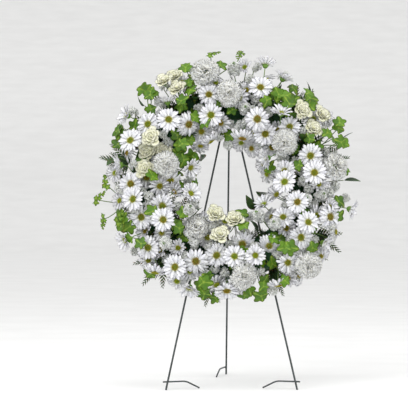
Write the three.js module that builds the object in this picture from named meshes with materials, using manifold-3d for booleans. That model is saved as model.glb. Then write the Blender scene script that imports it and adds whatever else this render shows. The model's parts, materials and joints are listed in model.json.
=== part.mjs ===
// A standing funeral wreath: a soaked foam ring in a plastic tray, dressed with cut flowers and foliage,
// carried by a folding easel of enamelled steel wire.
// Millimetres. +Z is up, the flowers face -Y, and the origin is the middle of the model's underside.
import * as THREE from "three";
import { mergeVertices } from "three/addons/utils/BufferGeometryUtils.js";
import Module from "manifold-3d";

const wasm = await Module();
wasm.setup();

// ---- Driving dimensions ----

const GAP = 0.35; // left between pieces that touch or are welded
const WIRE_SIDES = 8;
const RING_SIDES = 40;

// The easel. The front legs and all that they carry lean back from the line of the front feet.
const LEAN = THREE.MathUtils.degToRad(13);
const BACK_SLOPE = THREE.MathUtils.degToRad(20); // the back leg against the vertical
const TOP_HEIGHT = 730; // of the front legs, above the floor
const LEG_RADIUS = 2.5;
const FEET_APART = 338;
const LEG_TOPS_APART = 14;
const HINGE_RADIUS = 2;
const HINGE_LENGTH = 48;
const HINGE_BELOW_TOPS = 8;
const EYE_CLEARANCE = 0.6;
const EYE_WALL = 4;

// The treads by which the feet are pushed into turf: a bar across the leg that bends down to a prong.
const STEP_RADIUS = 2;
const STEP_HEIGHT = 20.5;
const STEP_HEEL = 11; // past the leg
const STEP_TREAD = 52; // from the leg to the bend
const STEP_PRONG = 37; // from the bend to where the prong meets the floor, along the floor
const STEP_TURN = THREE.MathUtils.degToRad(20); // the front treads turn in towards the back leg

// The ring, seen from the front as a clock face.
const RING_UP = 541; // its centre, measured up the slope of the legs
const RING_ASIDE = -6; // it hangs a little to the left of the legs' middle
const BAND_MIDDLE = 207.5; // radius of the middle of the flowered band
const BAND_HALF = 111; // from there to the middles of the heads on either rim
const FOAM_HALF_WIDTH = 42.5;
const FOAM_DEPTH = 50;
const FOAM_ROUNDING = 9;
const TRAY_WALL = 2.5;
const TRAY_RIM = 14;
const PRONG_APART = 236; // the rests under the tray, at the ends of the cross wire
const PRONG_REACH = 14;
const TIE_RADIUS = 0.9;
const TIE_UP = 178; // above the ring's centre
const TIE_DEPTH = 15;

// The flowers stand in a dome over the foam.
const DOME_FLOOR = 62; // height of the lowest heads over the tray's back
const DOME_RISE = 52; // how much higher the heads stand in the middle of the band
const TILT_OUT = 0.75; // how far the heads on the rims turn outwards
const STEM_RADIUS = 2;
const STEM_SIDES = 4;
const STEM_IN_FOAM = 14;
const STEM_AIM = 24; // all stems point at a circle this far over the tray's back
const FERN_HEIGHTS = [19, 28]; // by turns, so that one fan passes over the next
const FERN_SPREAD = THREE.MathUtils.degToRad(34);
const LEAF_THICKNESS = 1.4;

const finish = (color, roughness, metalness = 0) => new THREE.MeshStandardMaterial({ color, roughness, metalness });
const ENAMEL = finish("#2b3231", 0.45, 0.4);
const TIE_WIRE = finish("#3d5a35", 0.5, 0.5);
const FOAM = finish("#2f5a38", 0.95);
const TRAY = finish("#1f3a26", 0.5);
const FERN = finish("#2f4a20", 0.6);

// ---- Solids ----

const v = (x, y, z) => new THREE.Vector3(x, y, z);

// A closed three.js geometry as a manifold-3d solid.
function solid(geometry) {
  const bare = geometry.index ? geometry.toNonIndexed() : geometry.clone();
  bare.deleteAttribute("normal");
  bare.deleteAttribute("uv");
  const merged = mergeVertices(bare, 1e-4);
  const mesh = new wasm.Mesh({
    numProp: 3,
    vertProperties: merged.attributes.position.array,
    triVerts: new Uint32Array(merged.index.array),
  });
  return new wasm.Manifold(mesh);
}

function geometryOf(body) {
  const mesh = body.getMesh();
  const vertices = new Float32Array(mesh.numVert * 3);
  for (let i = 0; i < mesh.numVert; i++) {
    vertices.set(mesh.vertProperties.subarray(i * mesh.numProp, i * mesh.numProp + 3), i * 3);
  }
  const geometry = new THREE.BufferGeometry();
  geometry.setAttribute("position", new THREE.BufferAttribute(vertices, 3));
  geometry.setIndex(new THREE.BufferAttribute(mesh.triVerts, 1));
  return geometry;
}

const joined = (solids) => solids.reduce((whole, next) => whole.add(next));

// Turns a shape made about +Y to face along a direction, and puts it in place.
function placed(geometry, centre, facing) {
  const turn = new THREE.Quaternion().setFromUnitVectors(THREE.Object3D.DEFAULT_UP, facing);
  return geometry.applyQuaternion(turn).translate(centre.x, centre.y, centre.z);
}

// Straight round bar between two points.
function bar(from, to, radius, sides = WIRE_SIDES) {
  const along = v(0, 0, 0).subVectors(to, from);
  const rod = new THREE.CylinderGeometry(radius, radius, along.length(), sides);
  return placed(rod, from.clone().lerp(to, 0.5), along.normalize());
}

// Round wire through corners, each rounded off over the length of bend on either side.
function bentWire(corners, bend, radius, steps, sides = WIRE_SIDES) {
  const path = new THREE.CurvePath();
  let from = corners[0];
  for (let i = 1; i < corners.length - 1; i++) {
    const [before, at, after] = [corners[i - 1], corners[i], corners[i + 1]];
    const enter = at.clone().add(before.clone().sub(at).setLength(bend));
    const leave = at.clone().add(after.clone().sub(at).setLength(bend));
    path.add(new THREE.LineCurve3(from, enter));
    path.add(new THREE.QuadraticBezierCurve3(enter, at, leave));
    from = leave;
  }
  path.add(new THREE.LineCurve3(from, corners.at(-1)));
  const section = new THREE.Shape().absarc(0, 0, radius, 0, 2 * Math.PI);
  return new THREE.ExtrudeGeometry(section, { extrudePath: path, steps, curveSegments: sides / 2 });
}

// Body turned about Y. Flute draws in every second column on the rings that it names, and lifts it.
function turned(profile, columns, flute = {}) {
  const points = profile.map(([radius, height]) => new THREE.Vector2(radius, height));
  const geometry = new THREE.LatheGeometry(points, columns);
  const position = geometry.attributes.position;
  for (let column = 1; column < columns; column += 2) {
    for (const [ring, [share, lift]] of Object.entries(flute)) {
      const i = column * profile.length + Number(ring);
      position.setXYZ(i, position.getX(i) * share, position.getY(i) + lift, position.getZ(i) * share);
    }
  }
  return geometry;
}

// ---- Scene graph ----

const easel = new THREE.Group(); // stands upright on the floor
const slope = new THREE.Group(); // lies in the plane of the front legs, from the line of their feet
slope.rotation.x = -LEAN;
const wreath = new THREE.Group(); // X right, Z up the legs, Y = 0 at the tray's back
wreath.position.set(RING_ASIDE, -(LEG_RADIUS + GAP), RING_UP);
slope.add(wreath);
easel.add(slope);

function add(group, name, geometry, material) {
  const mesh = new THREE.Mesh(geometry, material);
  mesh.name = name;
  group.add(mesh);
}

// ---- Easel ----

const LEGS_UP = TOP_HEIGHT / Math.cos(LEAN); // the front legs, measured up their slope
const onSlope = (x, y, z) => v(x, y, z).applyAxisAngle(v(1, 0, 0), -LEAN);
const legHalfSpread = (up) => THREE.MathUtils.lerp(FEET_APART, LEG_TOPS_APART, up / LEGS_UP) / 2;

// Cuts off what reaches below the floor.
function standing(body) {
  const size = 2000;
  return body.subtract(solid(new THREE.BoxGeometry(size, size, size).translate(0, 0, -size / 2)));
}

function wireLeg(top, foot) {
  const past = foot.clone().sub(top).normalize();
  return standing(solid(bar(top, foot.clone().addScaledVector(past, 2 * LEG_RADIUS), LEG_RADIUS)));
}

function footStep(top, foot, inward) {
  const up = top.clone().sub(foot).normalize();
  const side = v(0, 0, 0).crossVectors(up, inward).setLength(LEG_RADIUS + STEP_RADIUS + GAP);
  if (side.y < 0) side.negate();
  const weld = foot.clone().addScaledVector(up, STEP_HEIGHT / up.z).add(side);
  const at = (along, height) => weld.clone().addScaledVector(inward, along).setZ(height);
  const buried = STEP_RADIUS * 2;
  const prongSlope = STEP_HEIGHT / STEP_PRONG;
  const tip = at(STEP_TREAD + STEP_PRONG + buried / prongSlope, -buried);
  const corners = [at(-STEP_HEEL, STEP_HEIGHT), at(STEP_TREAD, STEP_HEIGHT), tip];
  return standing(solid(bentWire(corners, 9, STEP_RADIUS, 10, 6)));
}

for (const [name, side] of [["left", -1], ["right", 1]]) {
  const foot = v((side * FEET_APART) / 2, 0, 0);
  const top = onSlope((side * LEG_TOPS_APART) / 2, 0, LEGS_UP);
  const inward = v(-side * Math.cos(STEP_TURN), Math.sin(STEP_TURN), 0);
  add(easel, `front_leg_${name}`, geometryOf(wireLeg(top, foot)), ENAMEL);
  add(easel, `foot_step_${name}`, geometryOf(footStep(top, foot, inward)), ENAMEL);
}

// A short wire behind the tops of the front legs, and the back leg's eye that turns on it.
const hingeBack = LEG_RADIUS + HINGE_RADIUS + GAP;
const hingeUp = LEGS_UP - HINGE_BELOW_TOPS;
const hingeEnd = v(HINGE_LENGTH / 2, hingeBack, hingeUp);
add(slope, "hinge_wire", bar(v(-hingeEnd.x, hingeEnd.y, hingeEnd.z), hingeEnd, HINGE_RADIUS), ENAMEL);

function backLeg(hinge, foot) {
  const bore = HINGE_RADIUS + EYE_CLEARANCE;
  const across = (half, radius) => solid(bar(hinge.clone().setX(-half), hinge.clone().setX(half), radius, 16));
  const eye = across(LEG_RADIUS, bore + EYE_WALL);
  return wireLeg(hinge, foot).add(eye).subtract(across(2 * LEG_RADIUS, bore));
}

const hinge = onSlope(0, hingeBack, hingeUp);
const backFoot = v(0, hinge.y + hinge.z * Math.tan(BACK_SLOPE), 0);
add(easel, "back_leg", geometryOf(backLeg(hinge, backFoot)), ENAMEL);
add(easel, "foot_step_back", geometryOf(footStep(hinge, backFoot, v(-0.3, -1, 0).normalize())), ENAMEL);

// ---- Ring ----

const trayInner = BAND_MIDDLE - FOAM_HALF_WIDTH - GAP - TRAY_WALL;
const trayOuter = BAND_MIDDLE + FOAM_HALF_WIDTH + GAP + TRAY_WALL;
const foamBack = TRAY_WALL + GAP;
const foamFront = foamBack + FOAM_DEPTH;

// Ring of a closed section, given as radius and height over the tray's back.
const ring = (section) => turned([...section, section[0]], RING_SIDES).rotateX(Math.PI);

function traySection() {
  const [inner, outer] = [trayInner + TRAY_WALL, trayOuter - TRAY_WALL];
  const outside = [[trayInner, 0], [trayOuter, 0], [trayOuter, TRAY_RIM]];
  const channel = [[outer, TRAY_RIM], [outer, TRAY_WALL], [inner, TRAY_WALL], [inner, TRAY_RIM]];
  return [...outside, ...channel, [trayInner, TRAY_RIM]];
}

function foamSection() {
  const [inner, outer] = [BAND_MIDDLE - FOAM_HALF_WIDTH, BAND_MIDDLE + FOAM_HALF_WIDTH];
  const shoulder = foamFront - FOAM_ROUNDING;
  const front = [[outer - FOAM_ROUNDING, foamFront], [inner + FOAM_ROUNDING, foamFront]];
  return [[inner, foamBack], [outer, foamBack], [outer, shoulder], ...front, [inner, shoulder]];
}

// Wire pushed through the tray into the foam on both sides of a leg, its bridge behind the leg.
function tieCorners(side) {
  const leg = side * legHalfSpread(RING_UP + TIE_UP) - RING_ASIDE;
  const half = LEG_RADIUS + 2 * GAP + TIE_RADIUS;
  const bridge = 2 * LEG_RADIUS + 2 * GAP + TIE_RADIUS;
  const at = (x, y) => v(x, y, TIE_UP);
  return [at(leg - half, -TIE_DEPTH), at(leg - half, bridge), at(leg + half, bridge), at(leg + half, -TIE_DEPTH)];
}

const tieBores = [];
for (const [name, side] of [["left", -1], ["right", 1]]) {
  const corners = tieCorners(side);
  add(wreath, `tie_wire_${name}`, bentWire(corners, 1.6, TIE_RADIUS, 22, 6), TIE_WIRE);
  for (const end of [corners[0], corners[3]]) {
    tieBores.push(solid(bar(end.clone().setY(-TIE_DEPTH - GAP), end.clone().setY(1), TIE_RADIUS + GAP)));
  }
}

// A wire behind the front legs whose ends bend forward under the tray's rim.
const prongX = PRONG_APART / 2;
const restUp = RING_UP - Math.sqrt(trayOuter ** 2 - prongX ** 2) - STEP_RADIUS - GAP;
const behindLegs = LEG_RADIUS + STEP_RADIUS + GAP;
const crossCorners = [[-1, -PRONG_REACH], [-1, behindLegs], [1, behindLegs], [1, -PRONG_REACH]]
  .map(([side, y]) => v(RING_ASIDE + side * prongX, y, restUp));
add(slope, "cross_wire", bentWire(crossCorners, 6, STEP_RADIUS, 28, 6), ENAMEL);
add(wreath, "ring_tray", geometryOf(joined([solid(ring(traySection()))]).subtract(joined(tieBores))), TRAY);

// ---- Places on the wreath ----

const outward = (hour) => v(Math.sin((hour * Math.PI) / 6), 0, Math.cos((hour * Math.PI) / 6));
const onRing = (hour, radius, height) => outward(hour).multiplyScalar(radius).setY(-height);

// Where a head sits: hour on the clock face, place across the band from -1 (inner rim) to 1 (outer rim),
// and how far it stands proud of the dome.
function seat(hour, across, proud) {
  const rise = DOME_RISE * Math.sqrt(Math.max(0, 1 - across * across));
  const facing = v(0, -1, 0).addScaledVector(outward(hour), TILT_OUT * across).normalize();
  const onDome = onRing(hour, BAND_MIDDLE + across * BAND_HALF, DOME_FLOOR + rise);
  return { centre: onDome.addScaledVector(facing, proud), facing };
}

// ---- Heads and leaves, each within a ball of radius r ----

// Flat ring of ray petals round a domed disc.
function daisyHead(r) {
  const profile = [[0, -0.3 * r], [0.98 * r, 0.06 * r], [0.25 * r, 0.02 * r], [0, 0.22 * r]];
  return turned(profile, 12, { 1: [0.76, -0.06 * r] });
}

// Ruffled ball of many narrow petals.
function carnationHead(r) {
  const calyx = [[0, -0.9 * r], [0.35 * r, -0.6 * r]];
  const petals = [[0.9 * r, -0.2 * r], [0.8 * r, 0.3 * r], [0.42 * r, 0.6 * r], [0, 0.72 * r]];
  return turned([...calyx, ...petals], 12, { 2: [0.84, 0.1 * r], 3: [1.08, 0.1 * r], 4: [0.7, 0.12 * r] });
}

// Cupped outer petals round a tight heart.
function roseHead(r) {
  const cup = [[0, -0.85 * r], [0.72 * r, -0.45 * r], [0.93 * r, 0.25 * r], [0.62 * r, 0.3 * r]];
  return turned([...cup, [0.4 * r, 0.6 * r], [0, 0.5 * r]], 8, { 2: [0.88, -0.06 * r] });
}

// Short thick spike of crowded florets.
function stockHead(r) {
  const tiers = [[0.85 * r, -0.25 * r], [0.5 * r, 0], [0.7 * r, 0.2 * r], [0.3 * r, 0.45 * r], [0.4 * r, 0.65 * r]];
  const flute = { 1: [0.7, 0.14 * r], 3: [0.72, -0.1 * r], 5: [0.6, 0.1 * r] };
  return turned([[0, -0.6 * r], ...tiers, [0, 0.85 * r]], 8, flute);
}

const leafShape = (outline, r) => new THREE.Shape(outline.map(([x, y]) => new THREE.Vector2(x * r, y * r)));
const bothSides = (half) => [...half, ...half.slice(1, -1).reverse().map(([x, y]) => [-x, y])];

// Five-lobed leaf, lying flat, with its tip towards -Z.
function ivyLeaf(r) {
  const half = [[0, -0.5], [0.5, -0.7], [0.5, -0.3], [0.95, 0.05], [0.45, 0.2], [0, 0.98]];
  return new THREE.ExtrudeGeometry(leafShape(bothSides(half), r), { depth: LEAF_THICKNESS, bevelEnabled: false })
    .translate(0, 0, -LEAF_THICKNESS / 2)
    .rotateX(-Math.PI / 2);
}

// ---- What the florist used, by hour on the clock face and place across the band ----

const PLANTS = {
  daisy_spray: {
    radius: 32, flat: 0.45, shape: daisyHead, base: -0.25, material: finish("#f4f4f6", 0.6),
    sprays: [
      [[11.55, 0.12], [11.45, -0.36], [11.15, -0.9]],
      [[10.75, -0.33], [10.4, 0.02], [10.7, 0.4]],
      [[10.1, 0.38], [9.65, 0.52], [10.05, 0.85]],
      [[9.2, 0.68], [8.85, 0.46], [8.5, 0.4]],
      [[8.15, 0.42], [8.15, -0.16], [7.8, 0.02]],
      [[8.85, -0.5], [8.15, -0.82], [9.45, -0.88]],
      [[7.6, 0.66], [7.95, 0.95], [7.25, 0.95]],
      [[6.7, 0.31], [7.0, 0.6], [6.65, 0.9]],
      [[6.3, 0.04], [5.9, 0.08], [6.05, 0.82]],
      [[5.65, -0.26], [5.45, 0.14], [5.05, 0.04]],
      [[4.9, 0.58], [5.2, 0.92], [4.4, 0.34]],
      [[4.3, -0.82], [4.3, -0.27], [3.8, -0.14]],
      [[4.1, 0.24], [4.2, 0.82], [3.75, 0.66], [3.5, 0.98]],
      [[2.55, 0.08], [3.0, 0.08], [2.85, -0.57], [3.3, -0.5]],
      [[1.35, -0.55], [1.7, -0.04], [1.35, 0.0], [2.2, -0.78]],
      [[0.65, 0.38], [0.9, -0.36], [0.65, -0.84], [0.95, 0.85], [0.6, 0.92]],
    ],
  },
  carnation: {
    radius: 35, flat: 1, shape: carnationHead, base: -0.7, material: finish("#f2f3ec", 0.7),
    sprays: [[[12, 0.06]], [[2.0, -0.34]], [[2.8, 0.68]], [[4.65, 0.86]], [[5.75, 0.52]], [[7.05, -0.45]],
      [[9.3, -0.34]], [[11.6, 0.61]]],
  },
  rose_spray: {
    radius: 23, flat: 1, shape: roseHead, base: -0.7, material: finish("#e9ecc4", 0.6),
    sprays: [
      [[11.1, 0.93], [10.88, 0.78], [11.0, 0.52]],
      [[9.85, 0.12], [9.55, 0.15], [9.72, -0.22], [9.15, 0.1]],
      [[1.6, 0.42], [1.85, 0.83], [2.0, 0.42]],
      [[6.65, -0.8], [6.3, -0.66], [6.3, -0.36], [5.8, -0.72]],
    ],
  },
  stock: {
    radius: 30, flat: 0.9, shape: stockHead, base: -0.4, material: finish("#eef0e8", 0.65),
    sprays: [
      [[0.1, 0.75], [0.45, -0.2]],
      [[3.4, 0.34], [3.6, 0.0]],
      [[4.85, -0.6], [4.65, -0.25]],
      [[7.4, 0.3], [7.6, -0.5]],
    ],
  },
  leaf_spray: {
    radius: 26, flat: 0.35, shape: ivyLeaf, base: -0.01, material: finish("#64910f", 0.5),
    sprays: [
      [[10.6, 1.1], [10.55, 0.75], [9.8, 0.95]],
      [[8.7, 1.24], [8.4, 1.18], [8.9, 1.0], [8.25, 0.85]],
      [[11.35, 0.78], [11.22, 0.45], [11.75, 1.2], [0.2, 1.22]],
      [[1.05, 0.38], [1.3, 0.55], [1.5, 0.85]],
      [[2.15, 1.03], [2.45, 0.88]],
      [[4.75, 0.02], [4.75, 0.3]],
      [[6.45, 0.65], [6.4, 0.98], [5.5, 1.0]],
      [[10.1, -0.5], [10.05, -0.92], [9.7, -0.75]],
    ],
  },
};

// Fans of fern that stand out from under the flowers: hour, and how far from the centre the middle tip is.
const FERNS = [[1.4, 355], [2.6, 335], [4.05, 350], [5.15, 335], [6.35, 335], [7.35, 355], [9.4, 352], [7.9, 84]];

// ---- Building the plants ----

const PROUD = [0, 13, -13, 24]; // heads stand at these steps over the dome, each beside others than its own

// Distance between two heads, where flat ones count as further apart when one lies over the other.
function roomBetween(one, other) {
  const apart = v(0, 0, 0).subVectors(other.centre, one.centre);
  const facing = v(0, 0, 0).addVectors(one.facing, other.facing).normalize();
  const over = Math.abs(apart.dot(facing));
  const reach = one.radius + other.radius;
  const flatness = (one.radius * one.flat + other.radius * other.flat) / reach;
  return Math.hypot(over / flatness, Math.sqrt(apart.lengthSq() - over * over)) / reach;
}

// Heads in the order given, each at the step that leaves it most room among those before it.
const heads = [];
for (const { sprays, radius, flat } of Object.values(PLANTS)) {
  for (const place of sprays.flat()) {
    const choices = PROUD.map((proud) => {
      const head = { place, radius, flat, ...seat(...place, proud) };
      return { ...head, room: Math.min(1, ...heads.map((other) => roomBetween(head, other))) };
    });
    heads.push(choices.reduce((best, next) => (next.room > best.room + 0.02 ? next : best)));
  }
}

// A crowded head is as large as leaves its neighbours their share of the room.
function sizeOf(head) {
  const rooms = heads.filter((other) => other !== head).map((other) => roomBetween(head, other));
  return head.radius * Math.min(1, ...rooms) - GAP;
}

const stemBores = [];
const stemBar = (from, to, radius = STEM_RADIUS) => solid(bar(from, to, radius, STEM_SIDES));

// A stem in the foam, ending just over its surface where it forks.
function rootedStem(tip, fork, along) {
  stemBores.push(stemBar(tip.clone().addScaledVector(along, -GAP), fork, STEM_RADIUS + GAP));
  return stemBar(tip, fork.clone().addScaledVector(along, STEM_RADIUS));
}

// Heads on stalks that part from one stem.
function spray({ shape, base }, places) {
  const seats = places.map((place) => heads.find((head) => head.place === place));
  const middle = seats.reduce((sum, { centre }) => sum.add(centre), v(0, 0, 0)).divideScalar(seats.length);
  const aim = v(middle.x, 0, middle.z).setLength(BAND_MIDDLE).setY(-STEM_AIM);
  const along = middle.clone().sub(aim).normalize();
  const sideways = Math.hypot(along.x, along.z);
  const toSurface = Math.min(FOAM_HALF_WIDTH / sideways, (foamFront - STEM_AIM) / -along.y);
  const fork = aim.clone().addScaledVector(along, toSurface + 2.5 * STEM_RADIUS);
  const pieces = [rootedStem(aim.clone().addScaledVector(along, toSurface - STEM_IN_FOAM), fork, along)];
  for (const head of seats) {
    const size = sizeOf(head);
    pieces.push(stemBar(fork, head.centre.clone().addScaledVector(head.facing, base * size)));
    pieces.push(solid(placed(shape(size), head.centre, head.facing)));
  }
  return joined(pieces);
}

// Flat triangular frond whose leaflets stand out as teeth, with its tip towards +Z.
function fernBlade(length) {
  const teeth = [[0.3, 0.16], [0.1, 0.24], [0.28, 0.46], [0.08, 0.52], [0.15, 0.76]];
  const outline = leafShape(bothSides([[0, -0.02], ...teeth, [0, 1]]), length);
  return new THREE.ExtrudeGeometry(outline, { depth: LEAF_THICKNESS, bevelEnabled: false })
    .translate(0, 0, -LEAF_THICKNESS / 2)
    .rotateX(Math.PI / 2);
}

// Fan of three fronds on a stem in the foam's outer side, or in its inner side where the tips point inwards.
function fernFan(hour, reach, height) {
  const away = Math.sign(reach - BAND_MIDDLE);
  const start = BAND_MIDDLE + away * (FOAM_HALF_WIDTH + 4 * STEM_RADIUS);
  const at = (radius) => onRing(hour, radius, height);
  const along = outward(hour).multiplyScalar(away);
  const pieces = [rootedStem(at(start - away * (STEM_IN_FOAM + 4 * STEM_RADIUS)), at(start), along)];
  for (const spread of [-FERN_SPREAD, 0, FERN_SPREAD]) {
    const length = Math.abs(reach - start) * (spread ? 0.88 : 1);
    const turn = Math.atan2(along.x, along.z) + spread;
    pieces.push(solid(fernBlade(length).rotateY(turn).translate(...at(start).toArray())));
  }
  return joined(pieces);
}

const numbered = (kind, index) => `${kind}_${String(index + 1).padStart(2, "0")}`;

for (const [kind, plant] of Object.entries(PLANTS)) {
  plant.sprays.forEach((places, index) => {
    add(wreath, numbered(kind, index), geometryOf(spray(plant, places)), plant.material);
  });
}
FERNS.forEach(([hour, reach], index) => {
  const height = FERN_HEIGHTS[index % 2];
  add(wreath, numbered("fern_fan", index), geometryOf(fernFan(hour, reach, height)), FERN);
});

const foam = solid(ring(foamSection())).subtract(joined([...tieBores, ...stemBores]));
add(wreath, "foam_ring", geometryOf(foam), FOAM);

// ---- Origin ----

easel.updateMatrixWorld(true);
const box = new THREE.Box3().setFromObject(easel, true);
const root = new THREE.Group();
easel.position.set(-(box.min.x + box.max.x) / 2, -(box.min.y + box.max.y) / 2, 0);
root.add(easel);

export default root;
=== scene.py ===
import json
import math
import random

import bpy
from mathutils import Matrix, Vector

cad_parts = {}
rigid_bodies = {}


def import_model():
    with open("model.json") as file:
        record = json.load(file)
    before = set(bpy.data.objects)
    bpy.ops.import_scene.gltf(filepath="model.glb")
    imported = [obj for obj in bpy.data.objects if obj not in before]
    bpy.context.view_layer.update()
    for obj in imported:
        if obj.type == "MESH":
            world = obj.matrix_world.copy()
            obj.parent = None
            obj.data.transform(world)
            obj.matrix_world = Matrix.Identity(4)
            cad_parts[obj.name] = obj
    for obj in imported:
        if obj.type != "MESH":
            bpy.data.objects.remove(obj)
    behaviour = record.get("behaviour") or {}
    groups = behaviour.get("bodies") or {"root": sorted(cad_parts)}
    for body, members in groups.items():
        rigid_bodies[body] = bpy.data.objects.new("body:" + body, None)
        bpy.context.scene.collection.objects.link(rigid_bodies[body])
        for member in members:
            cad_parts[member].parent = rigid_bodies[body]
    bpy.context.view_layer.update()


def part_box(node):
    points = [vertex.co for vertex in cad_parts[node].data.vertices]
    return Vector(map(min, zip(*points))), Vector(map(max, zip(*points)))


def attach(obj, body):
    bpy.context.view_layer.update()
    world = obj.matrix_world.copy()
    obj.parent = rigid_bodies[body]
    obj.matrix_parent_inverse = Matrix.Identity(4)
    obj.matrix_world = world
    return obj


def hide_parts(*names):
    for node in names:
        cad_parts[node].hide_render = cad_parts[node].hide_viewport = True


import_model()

MM = 0.001


# ---- Front frame of the easel ----
# Two straight legs, a hinge wire across their tops, a cross wire that the ring rests on and a tread
# at each foot, cut from 5 and 4 mm drawn steel wire, bent cold, spot welded and dipped in dark enamel.

LEG_RADIUS = 2.5 * MM
STEP_RADIUS = 2 * MM
STEP_HEIGHT = 20.5 * MM
STEP_HEEL = 11 * MM
STEP_TREAD = 52 * MM
STEP_PRONG = 37 * MM
STEP_TURN = math.radians(20)
WELD_RADIUS = 2.9 * MM


def linear(code):
    """Linear red, green, blue and alpha of an sRGB hex colour."""
    parts = [int(code[i:i + 2], 16) / 255 for i in (1, 3, 5)]
    return [c / 12.92 if c <= 0.04045 else ((c + 0.055) / 1.055) ** 2.4 for c in parts] + [1]


def node(tree, kind, links=None, stops=(), **settings):
    """Adds a node with its settings and colour stops. A link is another node's socket, or a value."""
    added = tree.nodes.new(kind)
    for setting, value in settings.items():
        setattr(added, setting, value)
    for socket, value in (links or {}).items():
        if isinstance(value, bpy.types.NodeSocket):
            tree.links.new(value, added.inputs[socket])
        else:
            added.inputs[socket].default_value = value
    for i, (place, code) in enumerate(stops):
        elements = added.color_ramp.elements
        element = elements[i] if i < len(elements) else elements.new(place)
        element.position, element.color = place, linear(code)
    return added


def surface(name, **values):
    """A new material, its tree and its Principled shader, with values set on the shader's sockets."""
    made = bpy.data.materials.new(name)
    made.use_nodes = True
    shader = made.node_tree.nodes["Principled BSDF"]
    for socket, value in values.items():
        shader.inputs[socket.replace("_", " ")].default_value = value
    return made, made.node_tree, shader


def enamel():
    """Dipped alkyd enamel on drawn steel: a near-black grey-green, satin, thicker here and there."""
    made, tree, shader = surface("enamelled_steel_wire", Roughness=0.4, IOR=1.52)
    place = node(tree, "ShaderNodeTexCoord").outputs["Object"]
    coat = node(tree, "ShaderNodeTexNoise", {"Vector": place, "Scale": 60.0, "Detail": 3.0})
    shades = [(0.3, "#242a2b"), (0.6, "#333b3c"), (0.85, "#485152")]
    colour = node(tree, "ShaderNodeValToRGB", {"Fac": coat.outputs["Fac"]}, shades)
    peel = node(tree, "ShaderNodeTexNoise", {"Vector": place, "Scale": 700.0, "Detail": 2.0})
    bump = node(tree, "ShaderNodeBump", {"Strength": 0.25, "Distance": 0.2 * MM,
                                         "Height": peel.outputs["Fac"]})
    tree.links.new(colour.outputs["Color"], shader.inputs["Base Color"])
    tree.links.new(bump.outputs["Normal"], shader.inputs["Normal"])
    return made


ENAMEL = enamel()


def growing_tree(name, **inputs):
    """A tree of geometry nodes with named inputs, given as (socket type, default)."""
    tree = bpy.data.node_groups.new(name, "GeometryNodeTree")
    tree.interface.new_socket("Geometry", in_out="INPUT", socket_type="NodeSocketGeometry")
    for label, (kind, default) in inputs.items():
        socket = tree.interface.new_socket(label, in_out="INPUT", socket_type="NodeSocket" + kind)
        if default is not None:
            socket.default_value = default
    tree.interface.new_socket("Geometry", in_out="OUTPUT", socket_type="NodeSocketGeometry")
    return tree, node(tree, "NodeGroupInput").outputs


def finish_tree(tree, geometry, material, selection=True):
    """Every tree ends by making its instances real and giving them their material."""
    real = node(tree, "GeometryNodeRealizeInstances", {"Geometry": geometry})
    painted = node(tree, "GeometryNodeSetMaterial",
                   {"Geometry": real.outputs[0], "Selection": selection, "Material": material})
    node(tree, "NodeGroupOutput", {"Geometry": painted.outputs[0]})


def grown(name, tree, start=None, **values):
    """The plain mesh object that a tree makes from a starting mesh."""
    made = bpy.data.objects.new(name, start or bpy.data.meshes.new(name))
    bpy.context.scene.collection.objects.link(made)
    modifier = made.modifiers.new(name, "NODES")
    modifier.node_group = tree
    for socket in tree.interface.items_tree:
        if socket.in_out == "INPUT" and socket.name in values:
            modifier[socket.identifier] = values[socket.name]
    graph = bpy.context.evaluated_depsgraph_get()
    evaluated = made.evaluated_get(graph)
    mesh = bpy.data.meshes.new_from_object(evaluated, preserve_all_data_layers=True, depsgraph=graph)
    made.modifiers.clear()
    made.data = mesh
    if len(mesh.materials) > 1 and mesh.materials[0] is None:
        used = [polygon.material_index - 1 for polygon in mesh.polygons]
        mesh.materials.pop(index=0)
        mesh.polygons.foreach_set("material_index", used)
    return made


def wire_tree():
    """Round wires along the edges of a mesh, each as thick as the point attribute thickness says."""
    tree, given = growing_tree("round_wires", Sides=("Int", 14), Material=("Material", None))
    curve = node(tree, "GeometryNodeMeshToCurve", {"Mesh": given["Geometry"]})
    thick = node(tree, "GeometryNodeInputNamedAttribute", {"Name": "thickness"}, data_type="FLOAT")
    section = node(tree, "GeometryNodeCurvePrimitiveCircle", {"Resolution": given["Sides"], "Radius": 1.0})
    links = {"Curve": curve.outputs[0], "Profile Curve": section.outputs[0], "Scale": thick.outputs[0]}
    tube = node(tree, "GeometryNodeCurveToMesh", {**links, "Fill Caps": True})
    finish_tree(tree, tube.outputs[0], given["Material"])
    return tree


ROUND_WIRES = wire_tree()


def lines(name, routes):
    """A mesh of open lines, each given as (points, radius or radii)."""
    points, edges, radii = [], [], []
    for route, radius in routes:
        edges += [(len(points) + i, len(points) + i + 1) for i in range(len(route) - 1)]
        points += route
        radii += radius if isinstance(radius, list) else [radius] * len(route)
    mesh = bpy.data.meshes.new(name)
    mesh.from_pydata(points, edges, [])
    mesh.attributes.new("thickness", "FLOAT", "POINT").data.foreach_set("value", radii)
    return mesh


def bent(corners, bend, steps=6):
    """Points along a wire through corners, each rounded off over the length of bend on either side."""
    route = [corners[0]]
    for before, at, after in zip(corners, corners[1:], corners[2:]):
        enter = at + (before - at).normalized() * bend
        leave = at + (after - at).normalized() * bend
        for i in range(steps + 1):
            t = i / steps
            route.append(enter.lerp(at, t).lerp(at.lerp(leave, t), t))
    return route + [corners[-1]]


def axis_of_leg(name):
    """Foot and top of a straight front leg, on its axis."""
    low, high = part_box(name)
    left = name.endswith("left")
    foot = Vector((low.x + LEG_RADIUS if left else high.x - LEG_RADIUS, low.y + LEG_RADIUS, 0))
    top = Vector((high.x - LEG_RADIUS if left else low.x + LEG_RADIUS, high.y - LEG_RADIUS, high.z))
    return foot, top


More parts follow.
